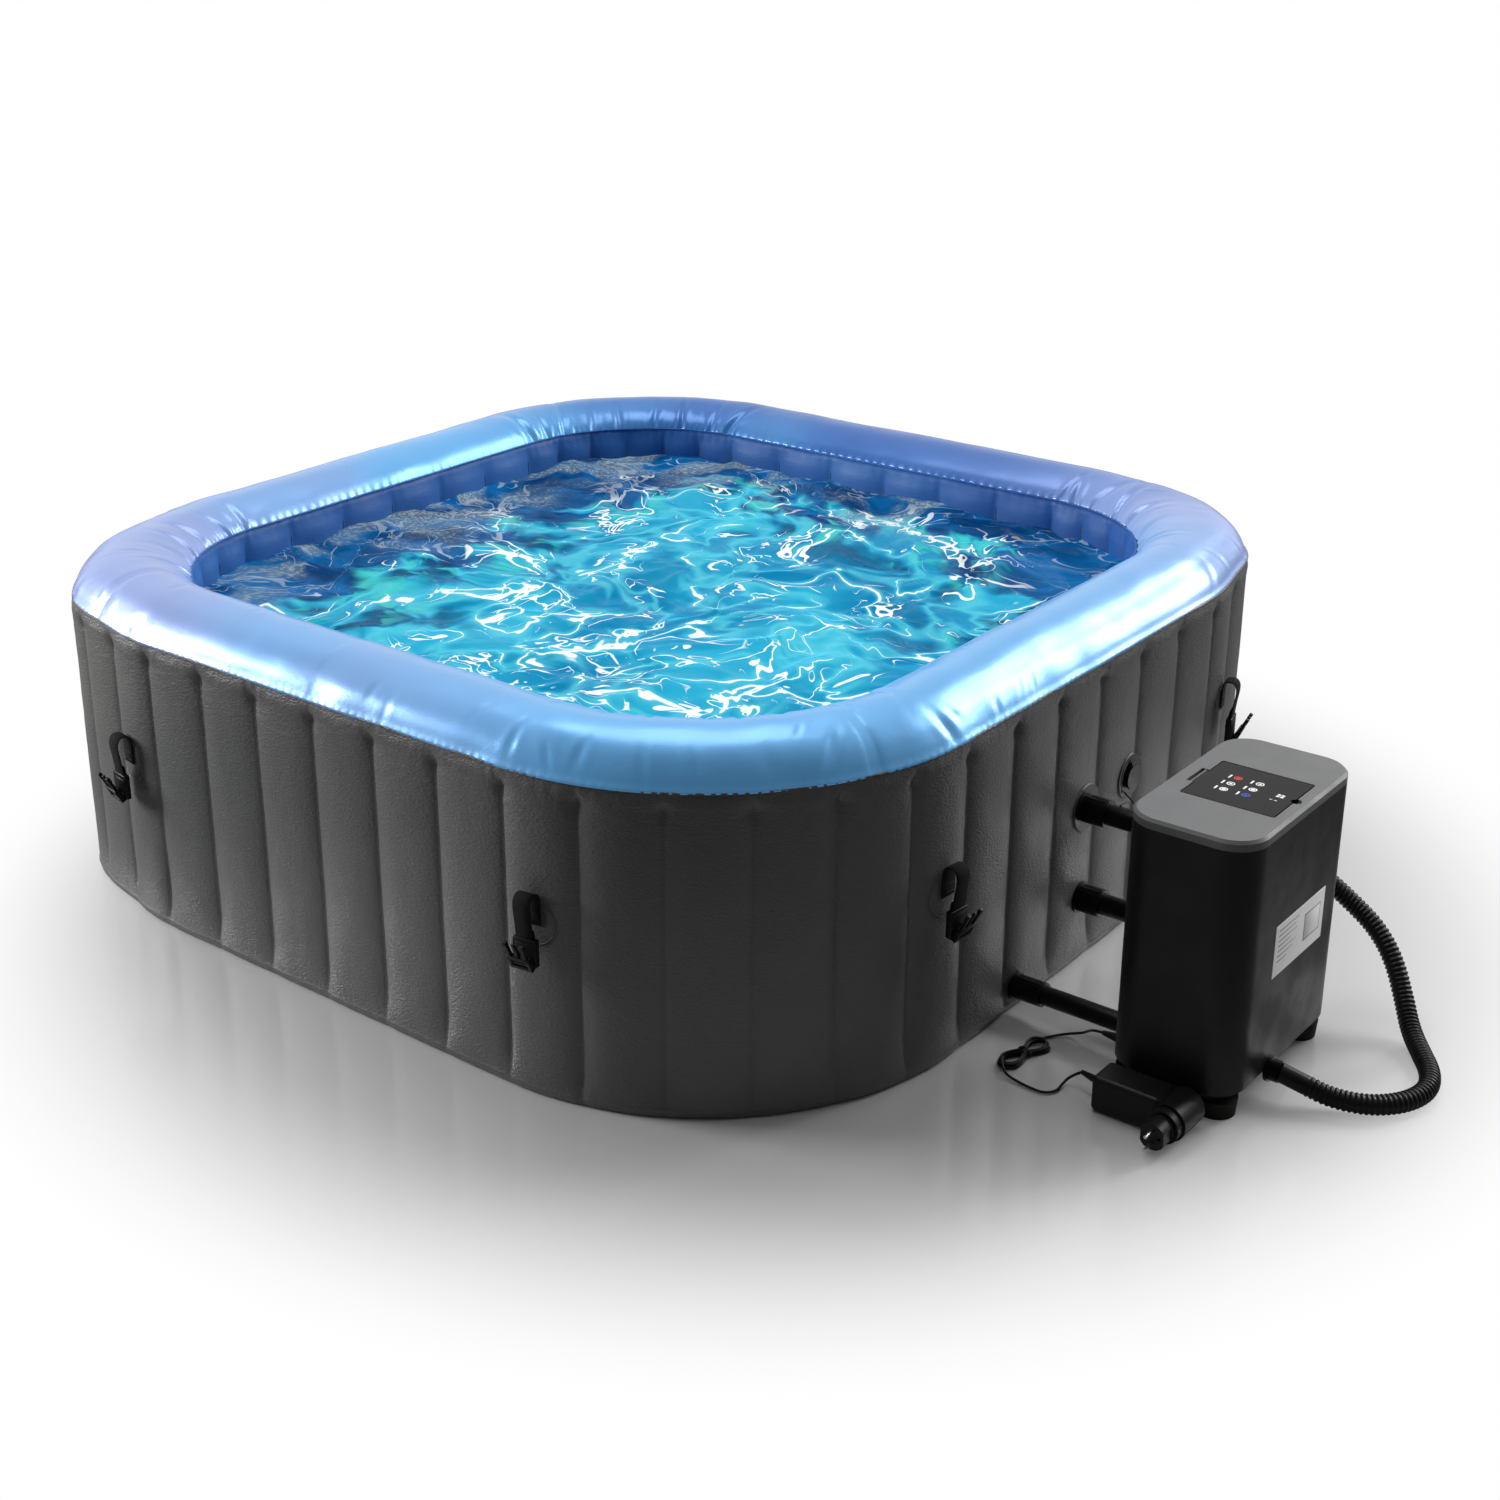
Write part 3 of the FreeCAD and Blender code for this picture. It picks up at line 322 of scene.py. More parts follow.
def water_finish():
    """Water with painted light: a painted lit area in cyan over the floor, painted shade in deep blue against
    the far walls, painted reflection lines, foam; the whole surface glows in its colour.
    """
    made = Finish("water", 0.05, IOR=1.13, Specular_IOR_Level=0.2)
    ramp, mix, add, take, times, least = made.ramp, made.mix, made.add, made.take, made.times, made.least
    bent = made.place
    for scale, reach in ((2.6, 0.26), (9.0, 0.055)):
        warp = made.noise(scale, 2.0, bent, output="Color")
        bent = made.vector("MULTIPLY_ADD", warp, (reach, reach, 0.0), bent)
    spot = made.split(made.place)
    x, y = spot["X"], spot["Y"]
    # the lit area: between two walls and a slanting line, with a ragged edge
    ragged = ramp(made.noise(6.5, 4.0, bent, 0.4), 0.3, 0.7, -0.085, 0.085)
    ahead = times(take(0.70, y), 0.76)
    slant = take(ahead, times(x, 0.65))
    inside = least(add(x, 0.375), take(0.475, y))
    inside = add(least(inside, slant), ragged)
    lit = ramp(inside, -0.025, 0.035)
    flat = made.mapped((1.0, 1.0, 0.0), bent)
    cells = made.noise(8.0, 2.5, flat, 0.5)
    fine = made.noise(15.0, 2.0, flat, 0.9)
    # painted reflection lines: bright ripple lines along level lines of two noises, each thick in some places
    # and gone in others
    lines = []
    for field, level, width, gate in ((cells, 0.50, 0.016, 5.0), (fine, 0.47, 0.020, 7.0),
                                      (cells, 0.60, 0.010, 9.0)):
        away = made.size(take(field, level))
        thick = ramp(made.noise(gate, 2.0, flat), 0.44, 0.62, -0.004, width)
        lines.append(ramp(take(thick, away), -0.003, 0.004))
    shine = made.most(made.most(lines[0], lines[1]), lines[2])
    # painted glow round the main reflection lines
    halo = ramp(made.size(take(cells, 0.50)), 0.0, 0.075, 1.0, 0.0)
    tone = ramp(made.noise(3.2, 3.0, flat, 0.6), 0.36, 0.64)
    bright = mix(tone, (0.000, 0.235, 0.47), (0.020, 0.43, 0.66))
    bright = mix(times(halo, 0.6), bright, (0.10, 0.66, 0.78))
    # painted shade: dark blue patches in the low cells, strongest towards the lit area's edge
    painted_dark_patches = ramp(cells, 0.38, 0.45, 1.0, 0.0)
    rim_zone = ramp(inside, 0.04, 0.36, 1.0, 0.10)
    bright = mix(times(painted_dark_patches, rim_zone), bright, (0.000, 0.085, 0.20))
    green = times(ramp(fine, 0.52, 0.60), ramp(inside, 0.02, 0.16, 0.75, 0.0))
    bright = mix(green, bright, (0.05, 0.62, 0.55))
    # painted shade: deep blue against the far walls, outside the lit area
    painted_shade_tone = ramp(made.noise(9.0, 3.0, flat), 0.35, 0.65)
    painted_shade = mix(painted_shade_tone, (0.000, 0.040, 0.150), (0.003, 0.125, 0.36))
    base = mix(lit, painted_shade, bright)
    white = times(shine, ramp(inside, -0.09, 0.03, 0.22, 1.0))
    base = mix(white, base, (0.95, 1.0, 1.0))
    far = least(add(x, 0.60), take(0.60, y))
    bubbles = ramp(made.voronoi(150.0, flat), 0.10, 0.60, 1.0, 0.30)
    foam = times(ramp(made.noise(5.2, 5.0, flat, 1.0), 0.44, 0.60), bubbles)
    foam = times(foam, ramp(far, 0.07, 0.24, 0.9, 0.0))
    base = mix(foam, base, (0.36, 0.44, 0.44))
    # colour darkened, and the water glows in it: painted light
    made.color(mix(0.62, base, (0.0, 0.0, 0.0))).glow(base, 0.68)
    made.rough(ramp(foam, 0.0, 0.6, 0.04, 0.5))
    return made.bump(made.noise(30.0, 3.0, flat, 0.7), 0.006, 0.3)


WATER_LOOK = water_finish()


# ---- mesh helpers --------------------------------------------------------------------------
def show(mesh, finish, rounded):
    """Object in the scene from a mesh, with its material."""
    if rounded:
        mesh.polygons.foreach_set("use_smooth", [True] * len(mesh.polygons))
    mesh.materials.append(finish.material)
    mesh.update()
    made = bpy.data.objects.new(mesh.name, mesh)
    bpy.context.scene.collection.objects.link(made)
    return made


def build(name, verts, faces, finish, rounded=True):
    """Mesh object from points and faces."""
    mesh = bpy.data.meshes.new(name)
    mesh.from_pydata([tuple(v) for v in verts], [], faces)
    return show(mesh, finish, rounded)


def grid(columns, rows, closed):
    """Quads of a grid whose points run row by row; closed joins the last column to the first."""
    faces = []
    for j in range(rows - 1):
        for i in range(columns if closed else columns - 1):
            k = (i + 1) % columns
            faces.append((j * columns + i, j * columns + k, (j + 1) * columns + k, (j + 1) * columns + i))
    return faces


def thicken(made, side):
    """Gives a sheet its thickness, towards one side."""
    shell = made.modifiers.new("skin", "SOLIDIFY")
    shell.thickness = SKIN
    shell.offset = side


def loop_faces(segments, rows):
    """Quads of a tube that closes on itself, whose points run ring by ring."""
    faces = []
    for i in range(rows):
        here, there = i * segments, (i + 1) % rows * segments
        for k in range(segments):
            m = (k + 1) % segments
            faces.append((here + k, there + k, there + m, here + m))
    return faces


def ring_angles(segments):
    return [2 * math.pi * i / segments for i in range(segments)]


def end_caps(segments, rows):
    """The two end faces of a tube made by grid."""
    return [tuple(reversed(range(segments))), tuple(range((rows - 1) * segments, rows * segments))]


def smooth(value, low, high):
    """0 below low, 1 above high, with a soft start and end between."""
    t = min(1.0, max(0.0, (value - low) / (high - low)))
    return t * t * (3 - 2 * t)


def bell(offset, width):
    return math.exp(-(offset / width) ** 2)


def wobble(x, y, z):
    """Smooth random field, about -1 to 1."""
    return noise.noise(Vector((x, y, z)))


def settle(made, body, slot, *nodes):
    """Rides on a body, and stands for CAD nodes; slot is not used."""
    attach(made, body)
    if nodes:
        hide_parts(*nodes)
    return made


def join(name, parts):
    """One mesh out of several, materials kept."""
    bpy.ops.object.select_all(action="DESELECT")
    for part in parts:
        part.select_set(True)
    bpy.context.view_layer.objects.active = parts[0]
    if len(parts) > 1:
        bpy.ops.object.join()
    parts[0].name = name
    parts[0].data.name = name
    return parts[0]


def block(low, high, finish, bevel, segments=2):
    """Box between two corners with rounded edges, baked into the mesh."""
    made = bmesh.new()
    bmesh.ops.create_cube(made, size=1.0)
    for v in made.verts:
        v.co = Vector([l + (c + 0.5) * (h - l) for c, l, h in zip(v.co, low, high)])
    bmesh.ops.bevel(made, geom=made.edges[:], offset=bevel, segments=segments, profile=0.6,
                    affect="EDGES")
    mesh = bpy.data.meshes.new("block")
    made.to_mesh(mesh)
    made.free()
    return show(mesh, finish, True)


# ---- cords: hose, mains lead, tether -------------------------------------------------------
def route_curve(name, points, radius, finish):
    """Smooth cord along a route: the route's points are the spline's control points."""
    data = bpy.data.curves.new(name, "CURVE")
    data.dimensions = "3D"
    data.bevel_depth = radius
    data.bevel_resolution = 6
    data.resolution_u = 10
    spline = data.splines.new("NURBS")
    spline.points.add(len(points) - 1)
    for point, place in zip(spline.points, points):
        point.co = (*place, 1.0)
    spline.order_u = 3
    spline.use_endpoint_u = True
    data.use_fill_caps = radius > 0
    data.materials.append(finish.material)
    made = bpy.data.objects.new(name, data)
    bpy.context.scene.collection.objects.link(made)
    return made


def centreline(points):
    """Points along a route's smooth spline."""
    curve = route_curve("route", points, 0.0, CABLE)
    curve.data.resolution_u = 24
    bpy.context.view_layer.update()
    mesh = bpy.data.meshes.new_from_object(curve.evaluated_get(bpy.context.evaluated_depsgraph_get()))
    line = [v.co.copy() for v in mesh.vertices]
    data = curve.data
    bpy.data.objects.remove(curve)
    bpy.data.curves.remove(data)
    bpy.data.meshes.remove(mesh)
    return line


def walk(line, step):
    """Evenly spaced (point, direction, distance) along a line."""
    out, travelled, wanted = [], 0.0, 0.0
    for a, b in zip(line, line[1:]):
        run = (b - a).length
        while run > 0 and wanted <= travelled + run:
            out.append((a.lerp(b, (wanted - travelled) / run), (b - a).normalized(), wanted))
            wanted += step
        travelled += run
    out.append((line[-1], (line[-1] - line[-2]).normalized(), travelled))
    return out, travelled


def frames_along(stations):
    """Adds a side vector to each station, carried along without twist."""
    side = stations[0][1].orthogonal().normalized()
    out = []
    for point, direction, distance in stations:
        side = (side - direction * side.dot(direction)).normalized()
        out.append((point, direction, side, distance))
    return out


HOSE_ROUTE = [
    (1.075, 0.060, 0.200), (1.078, 0.098, 0.197), (1.098, 0.128, 0.180), (1.138, 0.140, 0.147),
    (1.178, 0.135, 0.122), (1.212, 0.120, 0.090), (1.238, 0.100, 0.050), (1.264, 0.068, 0.020),
    (1.295, 0.028, 0.0145), (1.325, -0.014, 0.0145), (1.338, -0.058, 0.0145),
    (1.326, -0.104, 0.0145), (1.293, -0.140, 0.0145), (1.248, -0.158, 0.017),
    (1.212, -0.166, 0.028), (1.180, -0.170, 0.036),
]


def make_hose():
    """Corrugated hose with smooth cuffs at both ends."""
    line = centreline(HOSE_ROUTE)
    pitch, steps, segments = 0.0068, 6, 28
    cuff, cuff_radius, valley, ridge = 0.034, 0.0135, 0.0122, 0.0021
    stations, total = walk(line, pitch / steps)
    verts = []
    for point, direction, side, distance in frames_along(stations):
        inside = min(distance, total - distance)
        wave = 0.5 + 0.5 * math.cos(2 * math.pi * distance / pitch)
        blend = min(1.0, max(0.0, (inside - cuff) / 0.006))
        radius = cuff_radius * (1 - blend) + (valley + ridge * wave ** 0.7) * blend
        other = direction.cross(side)
        verts += [point + (side * math.cos(angle) + other * math.sin(angle)) * radius
                  for angle in ring_angles(segments)]
    rows = len(verts) // segments
    faces = grid(segments, rows, True) + end_caps(segments, rows)
    hose = build("hose_corrugated", verts, faces, HOSE)
    settle(hose, "tub", "hose_vinyl", "air_hose")
    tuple(HOSE_ROUTE[0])
    [tuple(p) for p in line]


HANK = Vector((0.8645, -0.2930, 0.0))
HANK_TURN = math.radians(-10)


def hank_point(across, along, height):
    """Point of the hank, measured across and along it."""
    cos, sin = math.cos(HANK_TURN), math.sin(HANK_TURN)
    return (HANK.x + across * cos - along * sin, HANK.y + across * sin + along * cos, height)


def hank_points():
    """Four and a half turns, each its own size, pinched together at the tie."""
    # half width of the far lobe, of the near lobe, half length, height, offset at the tie
    turns = (
        (0.0165, 0.0150, 0.0495, 0.0024, 0.0064), (0.0125, 0.0118, 0.0455, 0.0026, 0.0022),
        (0.0150, 0.0135, 0.0480, 0.0066, 0.0062), (0.0112, 0.0108, 0.0440, 0.0068, 0.0021),
        (0.0136, 0.0120, 0.0462, 0.0104, 0.0040),
    )
    points = []
    for index, (far, near, reach, height, pinch) in enumerate(turns):
        down = [(-far, 0.74 * reach), (-far * 0.86, 0.42 * reach), (-pinch, 0.12 * reach),
                (-pinch, -0.12 * reach), (-near * 0.86, -0.42 * reach), (-near, -0.76 * reach)]
        points += [hank_point(a, b, height) for a, b in down]
        points.append(hank_point(0.0, -reach, height))
        if index == len(turns) - 1:
            break
        points += [hank_point(-a, b, height) for a, b in reversed(down)]
        step = turns[index + 1]
        points.append(hank_point(0.0, (reach + step[2]) / 2, (height + step[3]) / 2))
    return points


LEAD_START = [
    (0.950, -0.232, 0.040), (0.934, -0.226, 0.035), (0.919, -0.212, 0.022),
    (0.904, -0.202, 0.008), (0.886, -0.207, 0.003), (0.874, -0.222, 0.0028), (0.865, -0.238, 0.0026),
]
LEAD_END = [
    (0.8635, -0.3480, 0.0080), (0.8735, -0.3550, 0.0040), (0.894, -0.359, 0.0025),
    (0.916, -0.362, 0.0025), (0.935, -0.361, 0.0025), (0.946, -0.347, 0.0025),
    (0.944, -0.329, 0.0040), (0.949, -0.314, 0.0120), (0.964, -0.312, 0.0220),
]


def make_lead():
    """Mains lead from the pump unit through its hank to the adapter."""
    lead = route_curve("mains_lead", LEAD_START + hank_points() + LEAD_END, 0.0019, CABLE)
    settle(lead, "tub", "cable_rubber", "power_cable", "lead_to_adapter", "cable_hank")
    loop = []
    for k in range(26):
        angle = 2 * math.pi * 2 * k / 25
        along = 0.0016 * (k / 25 - 0.5) * 2
        loop.append(hank_point(0.0098 * math.cos(angle), along, 0.0072 + 0.0066 * math.sin(angle)))
    tie = route_curve("hank_tie", loop, 0.0009, BLACK)
    settle(tie, "tub", "fitting_black")
    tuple(LEAD_START[0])


TETHER_ROUTE = [
    (0.791, 0.099, 0.237), (0.802, 0.097, 0.231), (0.813, 0.090, 0.228), (0.822, 0.073, 0.231),
    (0.829, 0.052, 0.244), (0.835, 0.030, 0.258), (0.840, 0.008, 0.267), (0.842, -0.012, 0.2696),
]


def make_tether():
    """Thin cord from the valve to its cap."""
    tether = route_curve("valve_cord", TETHER_ROUTE, 0.0014, CABLE)
    settle(tether, "tub", "tether_vinyl", "valve_tether")
    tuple(TETHER_ROUTE[0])


make_hose()
make_lead()
make_tether()


# ---- the tub's plan, walked by distance ----------------------------------------------------
def perimeter(distance, inset):
    """Point and outward normal at a distance from the front side's middle."""
    side = math.floor((distance + STRAIGHT) / QUARTER)
    along = distance - side * QUARTER
    if along <= STRAIGHT:
        point, normal = Vector((along, inset - HALF, 0)), Vector((0, -1, 0))
    else:
        turn = (along - STRAIGHT) / CORNER
        normal = Vector((math.sin(turn), -math.cos(turn), 0))
        point = Vector((STRAIGHT, -STRAIGHT, 0)) + normal * (CORNER - inset)
    spin = Matrix.Rotation(math.pi / 2 * side, 3, "Z")
    return spin @ point, spin @ normal


def fullness(distance):
    """How far the vinyl swells past the plan's arc at the left and right corners."""
    turn = math.degrees(((distance + STRAIGHT) % QUARTER - 2 * STRAIGHT) / CORNER)
    corner = math.floor((distance + STRAIGHT) / QUARTER) % 4
    if corner in (0, 2) or not 0 < turn < 90:
        return 0.0
    lean = math.cos(math.radians(turn)) + math.sin(math.radians(turn)) - 1
    return 0.062 * lean * smooth(turn, 14, 36) * smooth(90 - turn, 14, 36)


def groove_stations():
    """Distances of the wall's grooves: evenly spaced on each side, then evenly round the corner."""
    stations = []
    for side in range(4):
        middle = side * QUARTER + SIDE_SHIFT[side]
        stations += [middle + i * PITCH for i in range(-3, 4)]
        begin = middle + 3 * PITCH
        following = (side + 1) * QUARTER + SIDE_SHIFT[(side + 1) % 4] - 3 * PITCH
        step = (following - begin) / CORNER_CHANNELS
        stations += [begin + step * i for i in range(1, CORNER_CHANNELS)]
    return stations


GROOVES = groove_stations()


def columns(per_channel):
    """(distance, place in the channel from 0 to 1, channel number), closer together at the grooves."""
    out = []
    for index, here in enumerate(GROOVES):
        there = GROOVES[index + 1] if index + 1 < len(GROOVES) else GROOVES[0] + ROUND
        for i in range(per_channel):
            t = i / per_channel
            t -= 0.35 * math.sin(2 * math.pi * t) / (2 * math.pi)
            out.append((here + (there - here) * t, t, index))
    return out


def channel(t):
    """Cross section of one channel: 0 in the groove, 1 at the crest, steep at the groove."""
    u = abs(2 * t - 1)
    return (1 - u ** 2.3) ** 0.70 if u < 1 else 0.0


def outer_inset(distance, t, index, z):
    """How far the wall lies inside HALF at one spot."""
    below = SEAM_OUT - z
    ragged = 0.006 * wobble(index * 3.7, 0.0, 5.0)
    closing = smooth(below, 0.004 + ragged, 0.034 + ragged)
    foot = smooth(z, 0.0, 0.055)
    depth = 0.0088 * closing * (0.15 + 0.85 * foot)
    bulge = depth * (1 - channel(t))
    pucker = 0.0013 * bell(below - 0.012, 0.012) * wobble(distance * 13, 3, 1)
    ripple = math.sin(distance * 2 * math.pi / 0.019 + 3.5 * wobble(distance * 9, 0, 0))
    crease = 0.0026 * bell(below - 0.030, 0.014) * bell(min(t, 1 - t), 0.09)
    sag = 0.0012 * wobble(distance * 11, z * 7, 2.0)
    fine = 0.00045 * wobble(distance * 60, z * 130, 9.0)
    curl = 0.005 * (1 - math.sqrt(max(0.0, 1 - (1 - min(z, 0.012) / 0.012) ** 2)))
    weld = -0.0012 * bell(z - 0.0125, 0.0022)
    seam = 0.0030 * (1 - smooth(below, 0.0, 0.020))
    return -0.0028 + bulge + pucker * ripple + crease + sag + fine + curl + weld + seam - fullness(distance)


def make_outer_wall():
    """Ribbed outer wall, with more rows where it curls under at the foot and puckers below the rim."""
    across = columns(24)
    foot, shoulder = 0.030, 0.395
    heights = [0.0006, 0.001, 0.0022, 0.004, 0.007, 0.0095, 0.011, 0.0125, 0.014, 0.0155, 0.018, 0.023, foot]
    heights += [foot + (shoulder - foot) * i / 24 for i in range(1, 25)]
    heights += [shoulder + (SEAM_OUT - shoulder) * i / 26 for i in range(1, 27)]
    verts = []
    for z in heights:
        for distance, t, index in across:
            point = perimeter(distance, outer_inset(distance, t, index, z))[0]
            verts.append((point.x, point.y, z))
    wall = build("wall_channels", verts, grid(len(across), len(heights), True), WALL)
    thicken(wall, -1)
    settle(wall, "tub", "wall_vinyl", "outer_wall")


def make_inner_wall():
    """Basin wall: shallow ribs, pinched below the rim."""
    across = columns(16)
    low, high, rows = 0.004, SEAM_IN - 0.001, 40
    verts = []
    for j in range(rows):
        z = low + (high - low) * j / (rows - 1)
        below = SEAM_IN - z
        closing = smooth(below, 0.006, 0.035)
        for distance, t, _ in across:
            bulge = 0.0085 * closing * math.sin(math.pi * t) ** 0.8
            ripple = math.sin(distance * 2 * math.pi / 0.026 + 3 * wobble(distance * 7, 1, 0))
            pucker = 0.0007 * bell(below - 0.014, 0.012) * ripple
            sag = 0.0012 * wobble(distance * 9, z * 9, 7.0)
            point = perimeter(distance, 0.1590 + bulge + pucker + sag)[0]
            verts.append((point.x, point.y, z))
    wall = build("basin_channels", verts, grid(len(across), rows, True), BASIN)
    thicken(wall, 1)
    settle(wall, "tub", "basin_vinyl", "inner_wall")


# ---- rim -----------------------------------------------------------------------------------
def corner_creases():
    """Creases round each corner: distance, width, depth, place round the tube, spread, slant."""
    pick = random.Random(21)
    creases = []

    def crease(place, *limits):
        creases.append((place, *(pick.uniform(low, high) for low, high in limits)))

    for side in range(4):
        middle = side * QUARTER + STRAIGHT + CORNER * math.pi / 4
        for place in (-0.30, -0.235, -0.16, -0.07, 0.02, 0.10, 0.19, 0.265, 0.32):
            crease(middle + place + pick.uniform(-0.02, 0.02), (0.007, 0.013), (0.0022, 0.0052), (128, 150),
                   (22, 40), (-0.0006, 0.0006))
        for _ in range(7):
            crease(middle + pick.uniform(-0.34, 0.34), (0.006, 0.012), (0.0008, 0.0022), (20, 45),
                   (12, 22), (-0.0008, 0.0008))
    for _ in range(40):
        crease(pick.uniform(0, ROUND), (0.004, 0.008), (0.0004, 0.0012), (15, 150), (6, 16), (-0.0012, 0.0012))
    return creases


def make_rim():
    """Air tube over the wall, creased at the corners, with a cross weld near each corner."""
    start, end = 11.0, 154.5
    count, rings = 1100, 60
    creases = corner_creases()
    welds = [side * QUARTER + 0.87 for side in range(4)]
    relief = [[0.0] * count for _ in range(rings)]
    angles = [start + (end - start) * j / (rings - 1) for j in range(rings)]
    step = ROUND / count
    for place, width, depth, round_at, spread, slant in creases:
        reach = int(4 * width / step) + 12
        first = int(place / step)
        for i in range(first - reach, first + reach + 1):
            for j, angle in enumerate(angles):
                shift = i * step - place - slant * (angle - round_at)
                fall = bell(angle - round_at, spread)
                x = shift / width
                if abs(x) < 4 and fall > 0.01:
                    relief[j][i % count] -= depth * fall * (1 - 0.9 * x * x) * math.exp(-x * x / 2)
    for place in welds:
        first = int(place / step)
        for i in range(first - 12, first + 13):
            x = (i * step - place) / 0.0042
            for j in range(rings):
                relief[j][i % count] += 0.0017 * math.exp(-x * x * 2.2) - 0.0024 * bell(x, 2.2)
    verts = []
    for j, angle in enumerate(angles):
        turn = math.radians(angle)
        edge_out, edge_in = bell(angle - start, 4.5), bell(angle - end, 7.0)
        for i in range(count):
            distance = i * step
            stitch = math.sin(distance * 2 * math.pi / 0.0145)
            stitch *= 0.6 + wobble(distance * 21, 7, 3)
            loose = wobble(distance * 16, angle * 0.02, 1.5)
            out = relief[j][i] + 0.0014 * loose + 0.0008 * edge_out * stitch
            out += 0.0025 * edge_out + 0.0008 * edge_in * math.sin(distance * 2 * math.pi / 0.019 + 2 * loose)
            out += 0.0022 * wobble(distance * 3.1, angle * 0.03, 4.0)
            inset = RIM_REACH - (RIM_REACH + out) * math.cos(turn)
            inset -= fullness(distance) * smooth(1 - inset / 0.150, 0.0, 1.0)
            point = perimeter(distance, inset)[0]
            verts.append((point.x, point.y, RIM_MID + (RIM_RISE + out) * math.sin(turn) - 0.002))
    rim = build("rim_tube", verts, grid(count, rings, True), RIM)
    thicken(rim, -1)
    settle(rim, "tub", "rim_vinyl", "rim")


def make_seam():
    """Welded lips below and inside the rim, pressed at each stitch."""
    beads = []
    for inset, z, size, pitch, count, finish in ((0.0006, 0.4672, 0.0018, 0.0145, 1500, WALL),
                                                 (0.1600, 0.4855, 0.0016, 0.012, 1200, BASIN)):
        verts = []
        segments = 8
        for i in range(count):
            distance = ROUND * i / count
            press = 0.5 + 0.5 * math.cos(distance * 2 * math.pi / pitch)
            radius = size * (0.72 + 0.38 * press ** 3)
            drop = 0.0009 * wobble(distance * 25, inset * 40, 0)
            point, normal = perimeter(distance, inset - (fullness(distance) if inset < 0.1 else 0.0))
            verts += [point + normal * radius * math.cos(angle) + UP * (z + drop + radius * math.sin(angle))
                      for angle in ring_angles(segments)]
        beads.append(build("bead", verts, loop_faces(segments, count), finish))
    settle(join("seam_beads", beads), "tub", "wall_vinyl", "seam_welds")


# ---- water ---------------------------------------------------------------------------------
def water_height(x, y):
    """Lively surface: broad swells, choppy crests and small ripples."""
    place = Vector((x, y, 0))
    swell = noise.noise(place * 3.1 + Vector((4, 1, 0))) * 0.010
    bent = place + Vector((noise.noise(place * 5), noise.noise(place * 5 + Vector((7, 3, 0))), 0)) * 0.06
    crest = (1 - abs(noise.noise(bent * 7.0 + Vector((2, 9, 0)))) * 2) * 0.0085
    ripple = (1 - abs(noise.noise(bent * 15.0)) * 2) * 0.0040
    small = noise.noise(bent * 34.0) * 0.0015
    return swell + crest + ripple + small


def make_water():
    """Body of water: rippled top, sides inside the basin's wall."""
    basin, bottom, step = 0.1615, 0.30, 0.0046
    half, radius = HALF - basin, CORNER - basin
    count = int(2 * half / step) + 1
    centre = half - radius

    def outside(x, y):
        """Distance from the basin's wall, negative inside."""
        dx, dy = abs(x) - centre, abs(y) - centre
        return math.hypot(max(dx, 0), max(dy, 0)) + min(max(dx, dy), 0.0) - radius

    index = {}
    verts = []
    for i in range(count + 2):
        for j in range(count + 2):
            x, y = -half - step / 2 + i * step, -half - step / 2 + j * step
            away = outside(x, y)
            if away > step * 1.5:
                continue
            if away > -step * 0.35:
                eps = 1e-4
                gx = (outside(x + eps, y) - outside(x - eps, y)) / (2 * eps)
                gy = (outside(x, y + eps) - outside(x, y - eps)) / (2 * eps)
                x, y = x - gx * away, y - gy * away
            index[(i, j)] = len(verts)
            verts.append((x, y, WATER + water_height(x, y)))
    faces = []
    for (i, j) in index:
        ring = [(i, j), (i + 1, j), (i + 1, j + 1), (i, j + 1)]
        if all(k in index for k in ring):
            ids = [index[k] for k in ring]
            mid = [sum(verts[k][a] for k in ids) / 4 for a in (0, 1)]
            if outside(*mid) < -1e-4:
                faces.append(tuple(ids))
    made = build("water_body", verts, faces, WATER_LOOK)
    mesh = bmesh.new()
    mesh.from_mesh(made.data)
    bmesh.ops.delete(mesh, geom=[v for v in mesh.verts if not v.link_faces], context="VERTS")
    border = [e for e in mesh.edges if e.is_boundary]
    sunk = bmesh.ops.extrude_edge_only(mesh, edges=border)
    low = [v for v in sunk["geom"] if isinstance(v, bmesh.types.BMVert)]
    for v in low:
        v.co.z = bottom
    bmesh.ops.holes_fill(mesh, edges=[e for e in mesh.edges if e.is_boundary], sides=0)
    bmesh.ops.recalc_face_normals(mesh, faces=mesh.faces[:])
    mesh.to_mesh(made.data)
    mesh.free()
    settle(made, "tub", "water")


make_outer_wall()
make_inner_wall()
make_rim()
make_seam()
make_water()

# ---- CAD nodes that keep their shape -------------------------------------------------------
KEPT = {
    GROUND: "base_sheet", BASIN: "floor_liner bubble_ring", WALL: "internal_webs",
    BLACK: "wall_ports upper_nut middle_nut lower_nut connecting_pipes air_valve air_valve_cap drain_valve "
           "drain_cap hose_fittings",
    GREY: "filter_housing return_grille", RUBBER: "port_seals pump_feet", PAPER: "filter_cartridge",
    CASE: "pump_case pump_base water_pump air_blower", LID: "pump_lid", GLOSS: "panel_cover control_panel",
    KEY: "key_power key_heat key_bubble key_filter key_up key_down", STEEL: "cover_pin heater plug_pins",
    ROTOR: "impeller blower_fan", BOARD: "control_board", CABLE: "cable_gland strain_relief",
    PLUG: "adapter_body plug_head",
}
for finish, names in KEPT.items():
    for name in names.split():
        NODES[name].data.materials.clear()
        NODES[name].data.materials.append(finish.material)


